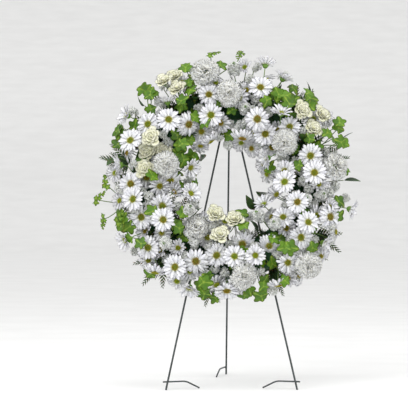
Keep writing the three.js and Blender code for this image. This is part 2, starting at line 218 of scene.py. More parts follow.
def tread(foot, top, inward):
    """The tread welded behind a leg: a level bar that bends down to a prong on the floor."""
    up = (top - foot).normalized()
    side = up.cross(inward).normalized() * (LEG_RADIUS + STEP_RADIUS - 0.1 * MM)
    if side.y < 0:
        side.negate()
    weld = foot + up * (STEP_HEIGHT / up.z) + side
    along = [(-STEP_HEEL, STEP_HEIGHT), (STEP_TREAD, STEP_HEIGHT), (STEP_TREAD + STEP_PRONG, STEP_RADIUS)]
    corners = [(weld + inward * reach) * Vector((1, 1, 0)) + Vector((0, 0, height))
               for reach, height in along]
    return bent(corners, 9 * MM), weld - side * 0.5


def weld_bead(at, across):
    """A short run of wire that swells in its middle stands for the bead of a spot weld."""
    share = [0.25, 0.8, 1, 0.8, 0.25]
    route = [at + across * (WELD_RADIUS * (i - 2) / 2) for i in range(len(share))]
    return route, [WELD_RADIUS * k for k in share]


def fitted(piece, body, slot, *nodes):
    """Attaches a finished piece to the body it rides on and hides the CAD nodes it stands for. The slot argument
    is not used.
    """
    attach(piece, body)
    if nodes:
        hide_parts(*nodes)


def front_frame():
    """All the wires of the front frame, with the beads where they are welded."""
    routes = []
    for side, name in ((-1, "left"), (1, "right")):
        foot, top = axis_of_leg("front_leg_" + name)
        routes.append(([foot, top], LEG_RADIUS))
        inward = Vector((-side * math.cos(STEP_TURN), math.sin(STEP_TURN), 0))
        bar, weld = tread(foot, top, inward)
        routes += [(bar, STEP_RADIUS), weld_bead(weld, (top - foot).normalized())]
        low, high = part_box("hinge_wire")
        at = Vector((top.x, low.y, (low.z + high.z) / 2))
        routes.append(weld_bead(at, Vector((1, 0, 0))))
    low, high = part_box("hinge_wire")
    middle = (low + high) / 2
    half = Vector(((high.x - low.x) / 2, 0, 0))
    routes.append(([middle - half, middle + half], STEP_RADIUS))
    low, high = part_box("cross_wire")
    behind = high.y - STEP_RADIUS
    reach = Vector((0, -(high.y - low.y) + STEP_RADIUS, high.z - low.z - 2 * STEP_RADIUS))
    ends = [Vector((x, behind, low.z + STEP_RADIUS)) for x in (low.x + STEP_RADIUS, high.x - STEP_RADIUS)]
    routes.append((bent([ends[0] + reach, ends[0], ends[1], ends[1] + reach], 6 * MM), STEP_RADIUS))
    for name in ("left", "right"):
        foot, top = axis_of_leg("front_leg_" + name)
        at = foot.lerp(top, ends[0].z / top.z)
        routes.append(weld_bead(at + Vector((0, LEG_RADIUS, 0)), Vector((1, 0, 0))))
    return lines("front_frame", routes)


easel_front_frame = grown("easel_front_frame", ROUND_WIRES, front_frame(), Material=ENAMEL)
fitted(easel_front_frame, "frame_and_wreath", "enamel_wire", "front_leg_left", "front_leg_right",
       "hinge_wire", "cross_wire", "foot_step_left", "foot_step_right")


# ---- Back leg ----
# One length of the same 5 mm wire. Its top is bent into an eye that turns on the hinge wire, so the
# easel folds flat. A tread is welded behind its foot, as on the front legs.

EYE_RADIUS = 5.1 * MM
EYE_OUTSIDE = 6.6 * MM
EYE_STEPS = 22
BACK_TREAD = Vector((-0.3, -1, 0)).normalized()


def back_leg_wires():
    """The leg with its eye, and the tread with its weld."""
    low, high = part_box("back_leg")
    pivot = Vector(((low.x + high.x) / 2, low.y + EYE_OUTSIDE, high.z - EYE_OUTSIDE))
    foot = Vector((pivot.x, high.y - LEG_RADIUS, 0))
    down = (foot - pivot).normalized()
    across = Vector((0, down.z, -down.y))
    eye = []
    for i in range(EYE_STEPS + 1):
        turn = math.radians(60 + 285 * i / EYE_STEPS)
        eye.append(pivot + (down * math.cos(turn) + across * math.sin(turn)) * EYE_RADIUS)
    leg = [foot, pivot + down * (4 * EYE_RADIUS),
           pivot + down * (2.6 * EYE_RADIUS) + across * (0.4 * EYE_RADIUS)]
    bar, weld = tread(foot, pivot, BACK_TREAD)
    return lines("back_leg", [(leg + eye, LEG_RADIUS), (bar, STEP_RADIUS), weld_bead(weld, -down)])


easel_back_leg = grown("easel_back_leg", ROUND_WIRES, back_leg_wires(), Material=ENAMEL)
fitted(easel_back_leg, "rear_leg", "enamel_wire", "back_leg", "foot_step_back")


# ---- Ring tray ----
# A shallow ring-shaped tray moulded in dark green plastic, with a rolled rim and thin ribs across
# its back. The soaked foam sits in it, and it rests on the ends of the cross wire.

LEAN = math.radians(13)
FORWARD = Vector((0, -math.cos(LEAN), math.sin(LEAN)))
UP_SLOPE = Vector((0, math.sin(LEAN), math.cos(LEAN)))
BAND_MIDDLE = 207.5 * MM
FOAM_HALF_WIDTH = 42.5 * MM
TRAY_WALL = 2.5 * MM
TRAY_RIM = 14 * MM
TRAY_HALF_WIDTH = FOAM_HALF_WIDTH + TRAY_WALL + 0.35 * MM
RING_COLUMNS = 96
TRAY_RIBS = 32

tray_low, tray_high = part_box("ring_tray")
WREATH = (tray_low + tray_high) / 2 - FORWARD * (TRAY_RIM / 2)


def outward(hour):
    """Direction of an hour of the clock face that the wreath makes from the front."""
    turn = math.radians(30 * hour)
    return Vector((math.sin(turn), 0, 0)) + UP_SLOPE * math.cos(turn)


def on_ring(hour, radius, height):
    """Point at an hour and radius of the wreath, at a height over the tray's back."""
    return WREATH + outward(hour) * radius + FORWARD * height


def ring(name, section, columns=RING_COLUMNS):
    """Closed ring turned from a section of (radius, height) points that run round it anticlockwise."""
    points, faces, count = [], [], len(section)
    for column in range(columns):
        points += [on_ring(12 * column / columns, radius, height) for radius, height in section]
    for column in range(columns):
        for i in range(count):
            here, there = column * count, (column + 1) % columns * count
            j = (i + 1) % count
            faces.append((here + i, there + i, there + j, here + j))
    mesh = bpy.data.meshes.new(name)
    mesh.from_pydata(points, [], faces, shade_flat=False)
    return mesh


def rounded(section, radius, steps=3):
    """A closed section with its corners rounded off."""
    made = []
    for i, at in enumerate(section):
        before, at, after = Vector(section[i - 1]), Vector(at), Vector(section[(i + 1) % len(section)])
        bend = min(radius, (before - at).length / 2.1, (after - at).length / 2.1)
        enter, leave = at + (before - at).normalized() * bend, at + (after - at).normalized() * bend
        for k in range(steps + 1):
            t = k / steps
            made.append(tuple(enter.lerp(at, t).lerp(at.lerp(leave, t), t)))
    return made


def tray_section():
    """The channel of the tray, with a lip rolled out along both rims."""
    inner, outer = BAND_MIDDLE - TRAY_HALF_WIDTH, BAND_MIDDLE + TRAY_HALF_WIDTH
    floor = TRAY_WALL
    outside = [(inner, 0), (outer, 0), (outer, TRAY_RIM)]
    inside = [(outer - TRAY_WALL, TRAY_RIM), (outer - TRAY_WALL, floor), (inner + TRAY_WALL, floor)]
    return rounded(outside + inside + [(inner + TRAY_WALL, TRAY_RIM), (inner, TRAY_RIM)], 1.1 * MM)


def moulded_plastic():
    """Injection moulded polypropylene, dark green with a fine matt grain that softens its shine."""
    made, tree, shader = surface("moulded_green_polypropylene", Roughness=0.5, IOR=1.49)
    place = node(tree, "ShaderNodeTexCoord").outputs["Object"]
    cloud = node(tree, "ShaderNodeTexNoise", {"Vector": place, "Scale": 25.0, "Detail": 2.0})
    colour = node(tree, "ShaderNodeValToRGB", {"Fac": cloud.outputs["Fac"]},
                  [(0.3, "#16301d"), (0.7, "#21422a")])
    grain = node(tree, "ShaderNodeTexNoise", {"Vector": place, "Scale": 1500.0, "Detail": 1.0})
    bump = node(tree, "ShaderNodeBump", {"Strength": 0.3, "Distance": 0.1 * MM,
                                         "Height": grain.outputs["Fac"]})
    tree.links.new(colour.outputs["Color"], shader.inputs["Base Color"])
    tree.links.new(bump.outputs["Normal"], shader.inputs["Normal"])
    return made


def rib_tree():
    """Copies of a starting mesh turned at even steps about an axis, made real."""
    tree, given = growing_tree("tray_ribs", Count=("Int", TRAY_RIBS), Centre=("Vector", WREATH),
                               Axis=("Vector", FORWARD), Material=("Material", None))
    points = node(tree, "GeometryNodePoints", {"Count": given["Count"], "Position": given["Centre"]})
    index = node(tree, "GeometryNodeInputIndex").outputs[0]
    step = node(tree, "ShaderNodeMath", {0: 2 * math.pi, 1: given["Count"]}, operation="DIVIDE")
    angle = node(tree, "ShaderNodeMath", {0: index, 1: step.outputs[0]}, operation="MULTIPLY")
    turn = node(tree, "FunctionNodeAxisAngleToRotation", {"Axis": given["Axis"], "Angle": angle.outputs[0]})
    links = {"Points": points.outputs[0], "Instance": given["Geometry"], "Rotation": turn.outputs[0]}
    finish_tree(tree, node(tree, "GeometryNodeInstanceOnPoints", links).outputs[0], given["Material"])
    return tree


def box_between(name, low, high, axes):
    """A box from low to high along three axes, about the origin."""
    corners = [sum((axis * (high, low)[bit >> i & 1][i] for i, axis in enumerate(axes)), Vector())
               for bit in range(8)]
    mesh = bpy.data.meshes.new(name)
    mesh.from_pydata(corners, [], [(0, 2, 3, 1), (4, 5, 7, 6), (0, 1, 5, 4), (2, 6, 7, 3), (0, 4, 6, 2),
                                   (1, 3, 7, 5)])
    return mesh


PLASTIC = moulded_plastic()
tray_shell = bpy.data.objects.new("tray", ring("tray", tray_section()))
tray_shell.data.materials.append(PLASTIC)
bpy.context.scene.collection.objects.link(tray_shell)
fitted(tray_shell, "frame_and_wreath", "ring_tray", "ring_tray")
rib_low = (-0.6 * MM, BAND_MIDDLE - TRAY_HALF_WIDTH + 2 * MM, -0.5 * MM)
rib_high = (0.6 * MM, BAND_MIDDLE + TRAY_HALF_WIDTH - 2 * MM, 0.8 * MM)
rib = box_between("rib", rib_low, rib_high, (Vector((1, 0, 0)), UP_SLOPE, FORWARD))
tray_ribs = grown("tray_ribs", rib_tree(), rib, Count=TRAY_RIBS, Centre=WREATH, Axis=FORWARD,
                  Material=PLASTIC)
fitted(tray_ribs, "frame_and_wreath", "ring_tray")


# ---- Foam ring ----
# Open-celled phenolic foam, soaked in water before the stems go in. It is pressed into the tray and
# stands over its rim, with its two front edges shaved round.

FOAM_BACK = TRAY_WALL + 0.35 * MM
FOAM_DEPTH = 50 * MM
FOAM_FRONT = FOAM_BACK + FOAM_DEPTH
FOAM_ROUNDING = 9 * MM


def wet_foam():
    """Soaked phenolic foam: dead matt, dark green, its cut cells a sparkle of fine pits, each with painted shade
    darkening its bottom.
    """
    made, tree, shader = surface("wet_floral_foam", Roughness=0.95)
    place = node(tree, "ShaderNodeTexCoord").outputs["Object"]
    # Real cells are about 0.3 mm across. They are drawn at 1.2 mm, so that they show.
    cells = node(tree, "ShaderNodeTexVoronoi", {"Vector": place, "Scale": 1 / (1.2 * MM)})
    # Painted shade: the colour follows the cell distance that also drives the bump, so each pit is darker at its
    # bottom.
    colour = node(tree, "ShaderNodeValToRGB", {"Fac": cells.outputs["Distance"]},
                  [(0.1, "#1f3c25"), (0.7, "#2f5a38")])
    bump = node(tree, "ShaderNodeBump", {"Strength": 0.5, "Distance": 0.5 * MM,
                                         "Height": cells.outputs["Distance"]})
    tree.links.new(colour.outputs["Color"], shader.inputs["Base Color"])
    tree.links.new(bump.outputs["Normal"], shader.inputs["Normal"])
    return made


def foam_section():
    """The foam's block section, its front edges rounded."""
    inner, outer = BAND_MIDDLE - FOAM_HALF_WIDTH, BAND_MIDDLE + FOAM_HALF_WIDTH
    block = [(inner, FOAM_BACK), (outer, FOAM_BACK), (outer, FOAM_FRONT), (inner, FOAM_FRONT)]
    return rounded(block, FOAM_ROUNDING, 5)


foam_block = bpy.data.objects.new("foam", ring("foam", foam_section()))
foam_block.data.materials.append(wet_foam())
bpy.context.scene.collection.objects.link(foam_block)
fitted(foam_block, "frame_and_wreath", "floral_foam", "foam_ring")


# ---- Tie wires ----
# Two lengths of green lacquered florist's wire, each bent to a staple, pushed through the tray from
# behind a leg and on into the foam, so that the ring can't tip off the cross wire.

TIE_RADIUS = 0.9 * MM


def tie(name):
    """Route of one staple, from the box of its CAD node."""
    low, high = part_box(name)
    middle, radius = (low + high) / 2, TIE_RADIUS
    depth = FORWARD * (15 * MM + 2 * LEG_RADIUS + 1.6 * MM)
    ends = [Vector((x, high.y - radius, low.z + radius)) for x in (low.x + radius, high.x - radius)]
    return bent([ends[0] + depth, ends[0], ends[1], ends[1] + depth], 1.6 * MM)


def green_lacquer():
    """Thin glossy green lacquer on soft annealed wire, with the wire's shine under it."""
    made, tree, shader = surface("green_lacquered_wire", Metallic=0.4, Roughness=0.4)
    place = node(tree, "ShaderNodeTexCoord").outputs["Object"]
    wear = node(tree, "ShaderNodeTexNoise", {"Vector": place, "Scale": 400.0})
    colour = node(tree, "ShaderNodeValToRGB", {"Fac": wear.outputs["Fac"]},
                  [(0.35, "#2f4c2a"), (0.7, "#45643c")])
    tree.links.new(colour.outputs["Color"], shader.inputs["Base Color"])
    return made


LACQUER = green_lacquer()
for side in ("left", "right"):
    staple = lines("staple", [(tie("tie_wire_" + side), TIE_RADIUS)])
    piece = grown("tie_staple_" + side, ROUND_WIRES, staple, Sides=8, Material=LACQUER)
    fitted(piece, "frame_and_wreath", "tie_wire", "tie_wire_" + side)


# ---- Places on the wreath ----
# The florist's plan. Each spray is a list of heads: hour on the clock face, place across the band from
# -1 at the inner rim to 1 at the outer, form of the head, ripeness, hour that it nods to and how far.

BAND_HALF = 111 * MM
DOME_FLOOR = 62 * MM
DOME_RISE = 52 * MM
TILT_OUT = 0.75
CLEARANCE = 0.35 * MM
PROUD = [0, 13 * MM, -13 * MM, 24 * MM]
FLAT, CUPPED, NODDING, BUD, AGED = range(5)

PLAN = {
    "daisy_spray": (32 * MM, 0.45, [
        [(11.55, 0.12, FLAT, 0.8), (11.45, -0.36, FLAT, 0.2), (11.15, -0.9, NODDING, 0.4, 5, 50)],
        [(10.75, -0.33, AGED, 1, 4.5, 30), (10.4, 0.02, FLAT, 0.5), (10.7, 0.4, CUPPED, 0.4, 12, 60)],
        [(10.1, 0.38, FLAT, 0.3), (9.65, 0.52, FLAT, 0.3), (10.05, 0.85, CUPPED, 0.4, 9.5, 35)],
        [(9.2, 0.68, CUPPED, 0.3, 9, 55), (8.85, 0.46, FLAT, 0.8), (8.5, 0.4, FLAT, 0.3, 8, 20)],
        [(8.15, 0.42, FLAT, 0.4), (8.15, -0.16, FLAT, 0.3, 7, 25), (7.8, 0.02, FLAT, 0.6)],
        [(8.85, -0.5, NODDING, 0.5, 6, 50), (8.15, -0.82, CUPPED, 0.2), (9.45, -0.88, CUPPED, 0.3, 5, 30)],
        [(7.6, 0.66, FLAT, 0.4), (7.95, 0.95, CUPPED, 0.2, 8, 30), (7.25, 0.95, NODDING, 0.4, 6, 50)],
        [(6.7, 0.31, AGED, 1, 6, 15), (7.0, 0.6, FLAT, 0.5), (6.65, 0.9, CUPPED, 0.3, 6.5, 40)],
        [(6.3, 0.04, FLAT, 0.5), (5.9, 0.08, FLAT, 0.1), (6.05, 0.82, FLAT, 0.9, 6, 20)],
        [(5.65, -0.26, NODDING, 0.8, 6, 35), (5.45, 0.14, CUPPED, 0.1), (5.05, 0.04, NODDING, 0.5, 6, 45)],
        [(4.9, 0.58, FLAT, 0.5), (5.2, 0.92, NODDING, 0.5, 5.5, 55), (4.4, 0.34, FLAT, 0.4)],
        [(4.3, -0.82, CUPPED, 0, 12, 25), (4.3, -0.27, FLAT, 0.4), (3.8, -0.14, FLAT, 0.9)],
        [(4.1, 0.24, FLAT, 0.4), (4.2, 0.82, CUPPED, 0.9, 4, 50), (3.75, 0.66, AGED, 0.9),
         (3.5, 0.98, CUPPED, 0.3, 3.5, 50)],
        [(2.55, 0.08, FLAT, 0.4), (3.0, 0.08, FLAT, 0.5), (2.85, -0.57, FLAT, 0.4), (3.3, -0.5, FLAT, 0.1)],
        [(1.35, -0.55, FLAT, 0.6), (1.7, -0.04, FLAT, 0.5), (1.35, 0.0, CUPPED, 0.3, 0, 55),
         (2.2, -0.78, CUPPED, 0.3, 8, 50)],
        [(0.65, 0.38, FLAT, 0.7), (0.9, -0.36, AGED, 0.9), (0.65, -0.84, NODDING, 1, 6, 45),
         (0.95, 0.85, CUPPED, 0.3, 1, 50), (0.6, 0.92, CUPPED, 0.3, 0.5, 55)],
    ]),
    "carnation": (35 * MM, 1, [
        [(12, 0.06)], [(2.0, -0.34)], [(2.8, 0.68)], [(4.65, 0.86)], [(5.75, 0.52)], [(7.05, -0.45)],
        [(9.3, -0.34)], [(11.6, 0.61)],
    ]),
    "rose_spray": (23 * MM, 1, [
        [(11.1, 0.93), (10.88, 0.78), (11.0, 0.52)],
        [(9.85, 0.12), (9.55, 0.15), (9.72, -0.22), (9.15, 0.1)],
        [(1.6, 0.42), (1.85, 0.83), (2.0, 0.42)],
        [(6.65, -0.8), (6.3, -0.66), (6.3, -0.36), (5.8, -0.72)],
    ]),
    "stock": (30 * MM, 0.9, [
        [(0.1, 0.75), (0.45, -0.2)], [(3.4, 0.34), (3.6, 0.0)], [(4.85, -0.6), (4.65, -0.25)],
        [(7.4, 0.3), (7.6, -0.5)],
    ]),
    "leaf_spray": (26 * MM, 0.35, [
        [(10.6, 1.1), (10.55, 0.75), (9.8, 0.95)],
        [(8.7, 1.24), (8.4, 1.18), (8.9, 1.0), (8.25, 0.85)],
        [(11.35, 0.78), (11.22, 0.45), (11.75, 1.2), (0.2, 1.22)],
        [(1.05, 0.38), (1.3, 0.55), (1.5, 0.85)],
        [(2.15, 1.03), (2.45, 0.88)],
        [(4.75, 0.02), (4.75, 0.3)],
        [(6.45, 0.65), (6.4, 0.98), (5.5, 1.0)],
        [(10.1, -0.5), (10.05, -0.92), (9.7, -0.75)],
    ]),
}


def seat(hour, across, proud):
    """Centre and facing of a head that stands proud of the dome of flowers over the foam."""
    rise = DOME_RISE * math.sqrt(max(0, 1 - across * across))
    facing = (FORWARD + outward(hour) * (TILT_OUT * across)).normalized()
    return on_ring(hour, BAND_MIDDLE + across * BAND_HALF, DOME_FLOOR + rise) + facing * proud, facing


def room_between(one, other):
    """Distance of two heads as a share of their radii. A flat head needs less room over another."""
    apart = other["centre"] - one["centre"]
    facing = (one["facing"] + other["facing"]).normalized()
    over = abs(apart.dot(facing))
    reach = one["radius"] + other["radius"]
    flatness = (one["radius"] * one["flat"] + other["radius"] * other["flat"]) / reach
    return math.hypot(over / flatness, math.sqrt(max(0, apart.length_squared - over * over))) / reach


def set_out():
    """Every head of the plan, each at the step over the dome that leaves it most room."""
    made = []
    for kind, (radius, flat, sprays) in PLAN.items():
        for number, spray in enumerate(sprays):
            for place in spray:
                best = None
                for proud in PROUD:
                    centre, facing = seat(place[0], place[1], proud)
                    head = dict(kind=kind, spray=number, place=place, radius=radius, flat=flat,
                                centre=centre, facing=facing)
                    head["room"] = min([1] + [room_between(head, other) for other in made])
                    if best is None or head["room"] > best["room"] + 0.02:
                        best = head
                made.append(best)
    for head in made:
        rooms = [room_between(head, other) for other in made if other is not head]
        head["size"] = head["radius"] * min([1] + rooms) - CLEARANCE
    return made


HEADS = set_out()


def nodding(facing, hour, degrees):
    """A facing turned by so many degrees towards an hour of the clock face."""
    turn = math.radians(degrees)
    sideways = outward(hour) - facing * outward(hour).dot(facing)
    return facing * math.cos(turn) + sideways.normalized() * math.sin(turn)


# ---- Stalks and the bed of greenery ----
# Under the flowers the foam is hidden by short leatherleaf fern and dark leaves, pushed in all over
# it and out past both rims. The flowers' own stalks rise through this bed.

STALK_RADIUS = 1.5 * MM
STEM_AIM = 24 * MM
STEM_IN_FOAM = 14 * MM
FORK_UP = 5 * MM
FULL_SIZE = 0.92


def blade(name, along, across, top, thickness=0.25 * MM):
    """A thin closed petal or leaf. Top gives its upper side's point at u, 0 to 1 from its base to its
    tip, and v, -1 to 1 across. Both sides share the edge, and u and v are kept as its UV map."""
    points, spots, index = [], [], {}
    for side in (0, 1):
        for i in range(along + 1):
            for j in range(across + 1):
                inside = 0 < i < along and 0 < j < across
                if side and not inside:
                    index[1, i, j] = index[0, i, j]
                    continue
                index[side, i, j] = len(points)
                u, v = i / along, 2 * j / across - 1
                points.append(Vector(top(u, v)) - Vector((0, 0, thickness * side)))
                spots.append((v / 2 + 0.5, u))
    faces = []
    for i in range(along):
        for j in range(across):
            corners = [(i, j), (i + 1, j), (i + 1, j + 1), (i, j + 1)]
            faces.append([index[0, a, b] for a, b in corners])
            faces.append([index[1, a, b] for a, b in reversed(corners)])
    mesh = bpy.data.meshes.new(name)
    mesh.from_pydata(points, [], faces, shade_flat=False)
    layer = mesh.uv_layers.new(name="blade")
    for loop in mesh.loops:
        layer.data[loop.index].uv = spots[loop.vertex_index]
    return mesh


def organ(name, mesh):
    """A helper object that the trees copy. All helpers are removed before the end."""
    made = bpy.data.objects.new(name, mesh)
    HELPERS.objects.link(made)
    return made


HELPERS = bpy.data.collections.new("helpers")
bpy.context.scene.collection.children.link(HELPERS)


def whorl_tree():
    """Copies of an organ set round a stalk at a steady divergence, from the heart to the rim."""
    tree, given = growing_tree(
        "whorl", Organ=("Object", None), Count=("Int", 20), Divergence=("Float", 2.4), Spread=("Float", 1.0),
        RadiusIn=("Float", 0.0), RadiusOut=("Float", 0.01), RiseIn=("Float", 0.0), RiseOut=("Float", 0.0),
        TiltIn=("Float", 0.0), TiltOut=("Float", 0.0), SizeIn=("Float", 1.0), SizeOut=("Float", 1.0),
        Jitter=("Float", 0.1), Seed=("Int", 1), Material=("Material", None))
    index = node(tree, "GeometryNodeInputIndex").outputs[0]
    last = node(tree, "ShaderNodeMath", {0: given["Count"], 1: 1.0}, operation="SUBTRACT").outputs[0]
    share = node(tree, "ShaderNodeMath", {0: index, 1: last}, operation="DIVIDE").outputs[0]
    spread = node(tree, "ShaderNodeMath", {0: share, 1: given["Spread"]}, operation="POWER").outputs[0]
    angle = node(tree, "ShaderNodeMath", {0: index, 1: given["Divergence"]}, operation="MULTIPLY").outputs[0]
    grade = {}
    for what, by in (("Radius", spread), ("Rise", share), ("Tilt", share), ("Size", share)):
        links = {"Value": by, "To Min": given[what + "In"], "To Max": given[what + "Out"]}
        grade[what] = node(tree, "ShaderNodeMapRange", links).outputs[0]
    flat = node(tree, "ShaderNodeCombineXYZ", {"X": grade["Radius"], "Z": grade["Rise"]}).outputs[0]
    place = node(tree, "ShaderNodeVectorRotate", {"Vector": flat, "Angle": angle}, rotation_type="Z_AXIS")
    points = node(tree, "GeometryNodePoints", {"Count": given["Count"], "Position": place.outputs[0]})
    kept = node(tree, "GeometryNodeStoreNamedAttribute",
                {"Geometry": points.outputs[0], "Name": "whorl", "Value": share}, data_type="FLOAT")
    fresh = node(tree, "GeometryNodeStoreNamedAttribute",
                 {"Geometry": kept.outputs[0], "Name": "fresh", "Value": True},
                 data_type="BOOLEAN")
    drop = node(tree, "ShaderNodeMath", {0: grade["Tilt"], 1: -1.0}, operation="MULTIPLY").outputs[0]
    steady = node(tree, "ShaderNodeCombineXYZ", {"Y": drop, "Z": angle}).outputs[0]
    chance = node(tree, "FunctionNodeRandomValue", {0: (-1, -1, -1), 1: (1, 1, 1), "Seed": given["Seed"]},
                  data_type="FLOAT_VECTOR").outputs[0]
    wobble = node(tree, "ShaderNodeVectorMath", {0: chance, "Scale": given["Jitter"]},
                  operation="SCALE").outputs[0]
    euler = node(tree, "ShaderNodeVectorMath", {0: steady, 1: wobble}, operation="ADD").outputs[0]
    turn = node(tree, "FunctionNodeEulerToRotation", {0: euler}).outputs[0]
    uneven = node(tree, "FunctionNodeRandomValue", {2: 0.88, 3: 1.08, "Seed": given["Seed"]}).outputs[1]
    size = node(tree, "ShaderNodeMath", {0: grade["Size"], 1: uneven}, operation="MULTIPLY").outputs[0]
    shape = node(tree, "GeometryNodeObjectInfo", {"Object": given["Organ"]}).outputs["Geometry"]
    links = {"Points": fresh.outputs[0], "Instance": shape, "Rotation": turn, "Scale": size}
    copies = node(tree, "GeometryNodeInstanceOnPoints", links)
    start = node(tree, "GeometryNodeRemoveAttribute", {"Geometry": given["Geometry"], "Name": "fresh"})
    both = node(tree, "GeometryNodeJoinGeometry", {"Geometry": start.outputs[0]})
    tree.links.new(copies.outputs[0], both.inputs[0])
    newly = node(tree, "GeometryNodeInputNamedAttribute", {"Name": "fresh"}, data_type="BOOLEAN")
    finish_tree(tree, both.outputs[0], given["Material"], newly.outputs[0])
    return tree


def spray_tree():
    """Stalks along the edges of a mesh, and on its loose points the heads of a collection: each turned
    to its facing, spun about it, sized, and of the form that its point asks for."""
    tree, given = growing_tree("spray", Heads=("Collection", None), Material=("Material", None))
    curve = node(tree, "GeometryNodeMeshToCurve", {"Mesh": given["Geometry"]})
    read = {}
    for name, kind in (("thickness", "FLOAT"), ("head", "BOOLEAN"), ("form", "INT"),
                       ("facing", "FLOAT_VECTOR"),
                       ("spin", "FLOAT"), ("size", "FLOAT"), ("stalk", "BOOLEAN")):
        read[name] = node(tree, "GeometryNodeInputNamedAttribute", {"Name": name}, data_type=kind).outputs[0]
    section = node(tree, "GeometryNodeCurvePrimitiveCircle", {"Resolution": 6, "Radius": 1.0})
    links = {"Curve": curve.outputs[0], "Profile Curve": section.outputs[0], "Scale": read["thickness"]}
    stalks = node(tree, "GeometryNodeCurveToMesh", {**links, "Fill Caps": True})
    heads = node(tree, "GeometryNodeCollectionInfo",
                 {"Collection": given["Heads"], "Separate Children": True, "Reset Children": True})
    aimed = node(tree, "FunctionNodeAlignRotationToVector", {"Vector": read["facing"]}, axis="Z").outputs[0]
    spun = node(tree, "FunctionNodeAxisAngleToRotation",
                {"Axis": (0, 0, 1), "Angle": read["spin"]}).outputs[0]
    turn = node(tree, "FunctionNodeRotateRotation", {0: aimed, 1: spun}, rotation_space="LOCAL").outputs[0]
    copies = node(tree, "GeometryNodeInstanceOnPoints", {
        "Points": given["Geometry"], "Selection": read["head"], "Instance": heads.outputs[0],
        "Pick Instance": True,
        "Instance Index": read["form"], "Rotation": turn, "Scale": read["size"]})
    both = node(tree, "GeometryNodeJoinGeometry", {"Geometry": stalks.outputs[0]})
    tree.links.new(copies.outputs[0], both.inputs[0])
    finish_tree(tree, both.outputs[0], given["Material"], read["stalk"])
    return tree


WHORL = whorl_tree()
SPRAY = spray_tree()


def planted(name, stalks, heads):
    """The mesh that the spray tree reads: stalks as (points, radii), heads as dictionaries."""
    mesh = lines(name, stalks)
    count = len(mesh.vertices)
    mesh.vertices.add(len(heads))
    for i, head in enumerate(heads):
        mesh.vertices[count + i].co = head["centre"]
    for label, kind in (("facing", "FLOAT_VECTOR"), ("spin", "FLOAT"), ("size", "FLOAT"), ("ripe", "FLOAT"),
                        ("form", "INT"), ("head", "BOOLEAN"), ("stalk", "BOOLEAN")):
        layer = mesh.attributes.new(label, kind, "POINT")
        for i in range(count + len(heads)):
            head = heads[i - count] if i >= count else {"stalk": True}
            value = {"head": i >= count, "facing": (0, 0, 1), **head}.get(label, 0)
            if kind == "FLOAT_VECTOR":
                layer.data[i].vector = value
            else:
                layer.data[i].value = value
    return mesh


def stalk_to(fork, along, end, facing, radius=STALK_RADIUS):
    """A stalk that leaves the fork along the stem and bends over to the back of a head."""
    reach = (end - fork).length
    one, two = fork + along * (0.35 * reach), end - facing * (0.35 * reach)
    route = []
    for i in range(7):
        t = i / 6
        route.append(fork * (1 - t) ** 3 + one * (3 * t * (1 - t) ** 2) + two * (3 * t * t * (1 - t))
                     + end * t ** 3)
    return route, [radius * (1 - 0.25 * i / 6) for i in range(7)]


def fork_under(heads):
    """Tip and fork of the stem under a group of heads, and the direction in which it leaves the foam."""
    middle = sum((head["centre"] for head in heads), Vector()) / len(heads)
    flat = middle - WREATH
    flat -= FORWARD * flat.dot(FORWARD)
    aim = WREATH + flat.normalized() * BAND_MIDDLE + FORWARD * STEM_AIM
    along = (middle - aim).normalized()
    sideways = (along - FORWARD * along.dot(FORWARD)).length
    surface_at = min(FOAM_HALF_WIDTH / max(sideways, 1e-6), (FOAM_FRONT - STEM_AIM) / along.dot(FORWARD))
    return aim + along * (surface_at - STEM_IN_FOAM), aim + along * (surface_at + FORK_UP), along


def spray(piece_name, kind, number, collection, base, slot, scale=1.0, usual=0):
    """One spray of the plan: its stem in the foam, its stalks and its heads, in place of its CAD node."""
    chance = random.Random(piece_name)
    members = [head for head in HEADS if head["kind"] == kind and head["spray"] == number]
    tip, fork, along = fork_under(members)
    stalks, heads = [([tip, fork + along * MM], 2 * MM)], []
    for member in members:
        form, ripe, hour, nod = (member["place"] + (usual, 0.5, 0, 0)[len(member["place"]) - 2:])[2:]
        facing = nodding(member["facing"], hour, nod) if nod else member["facing"]
        facing = (facing + Vector([chance.uniform(-0.14, 0.14) for _ in range(3)])).normalized()
        stalks.append(stalk_to(fork, along, member["centre"] + facing * (base * member["size"]), facing))
        heads.append(dict(centre=member["centre"], facing=facing, spin=chance.uniform(0, 2 * math.pi),
                          form=form,
                          ripe=ripe, size=scale * max(FULL_SIZE, member["size"] / member["radius"])))
    piece = grown(piece_name, SPRAY, planted(piece_name, stalks, heads), Heads=collection, Material=STALK)
    fitted(piece, "frame_and_wreath", slot, f"{kind}_{number + 1:02d}")


def gathered(name, *objects):
    """A collection of forms that the spray tree picks from, in the order given."""
    made = bpy.data.collections.new(name)
    HELPERS.children.link(made)
    for number, each in enumerate(objects):
        each.name = f"{name}_{number}"
        for holder in list(each.users_collection):
            holder.objects.unlink(each)
        made.objects.link(each)
    return made


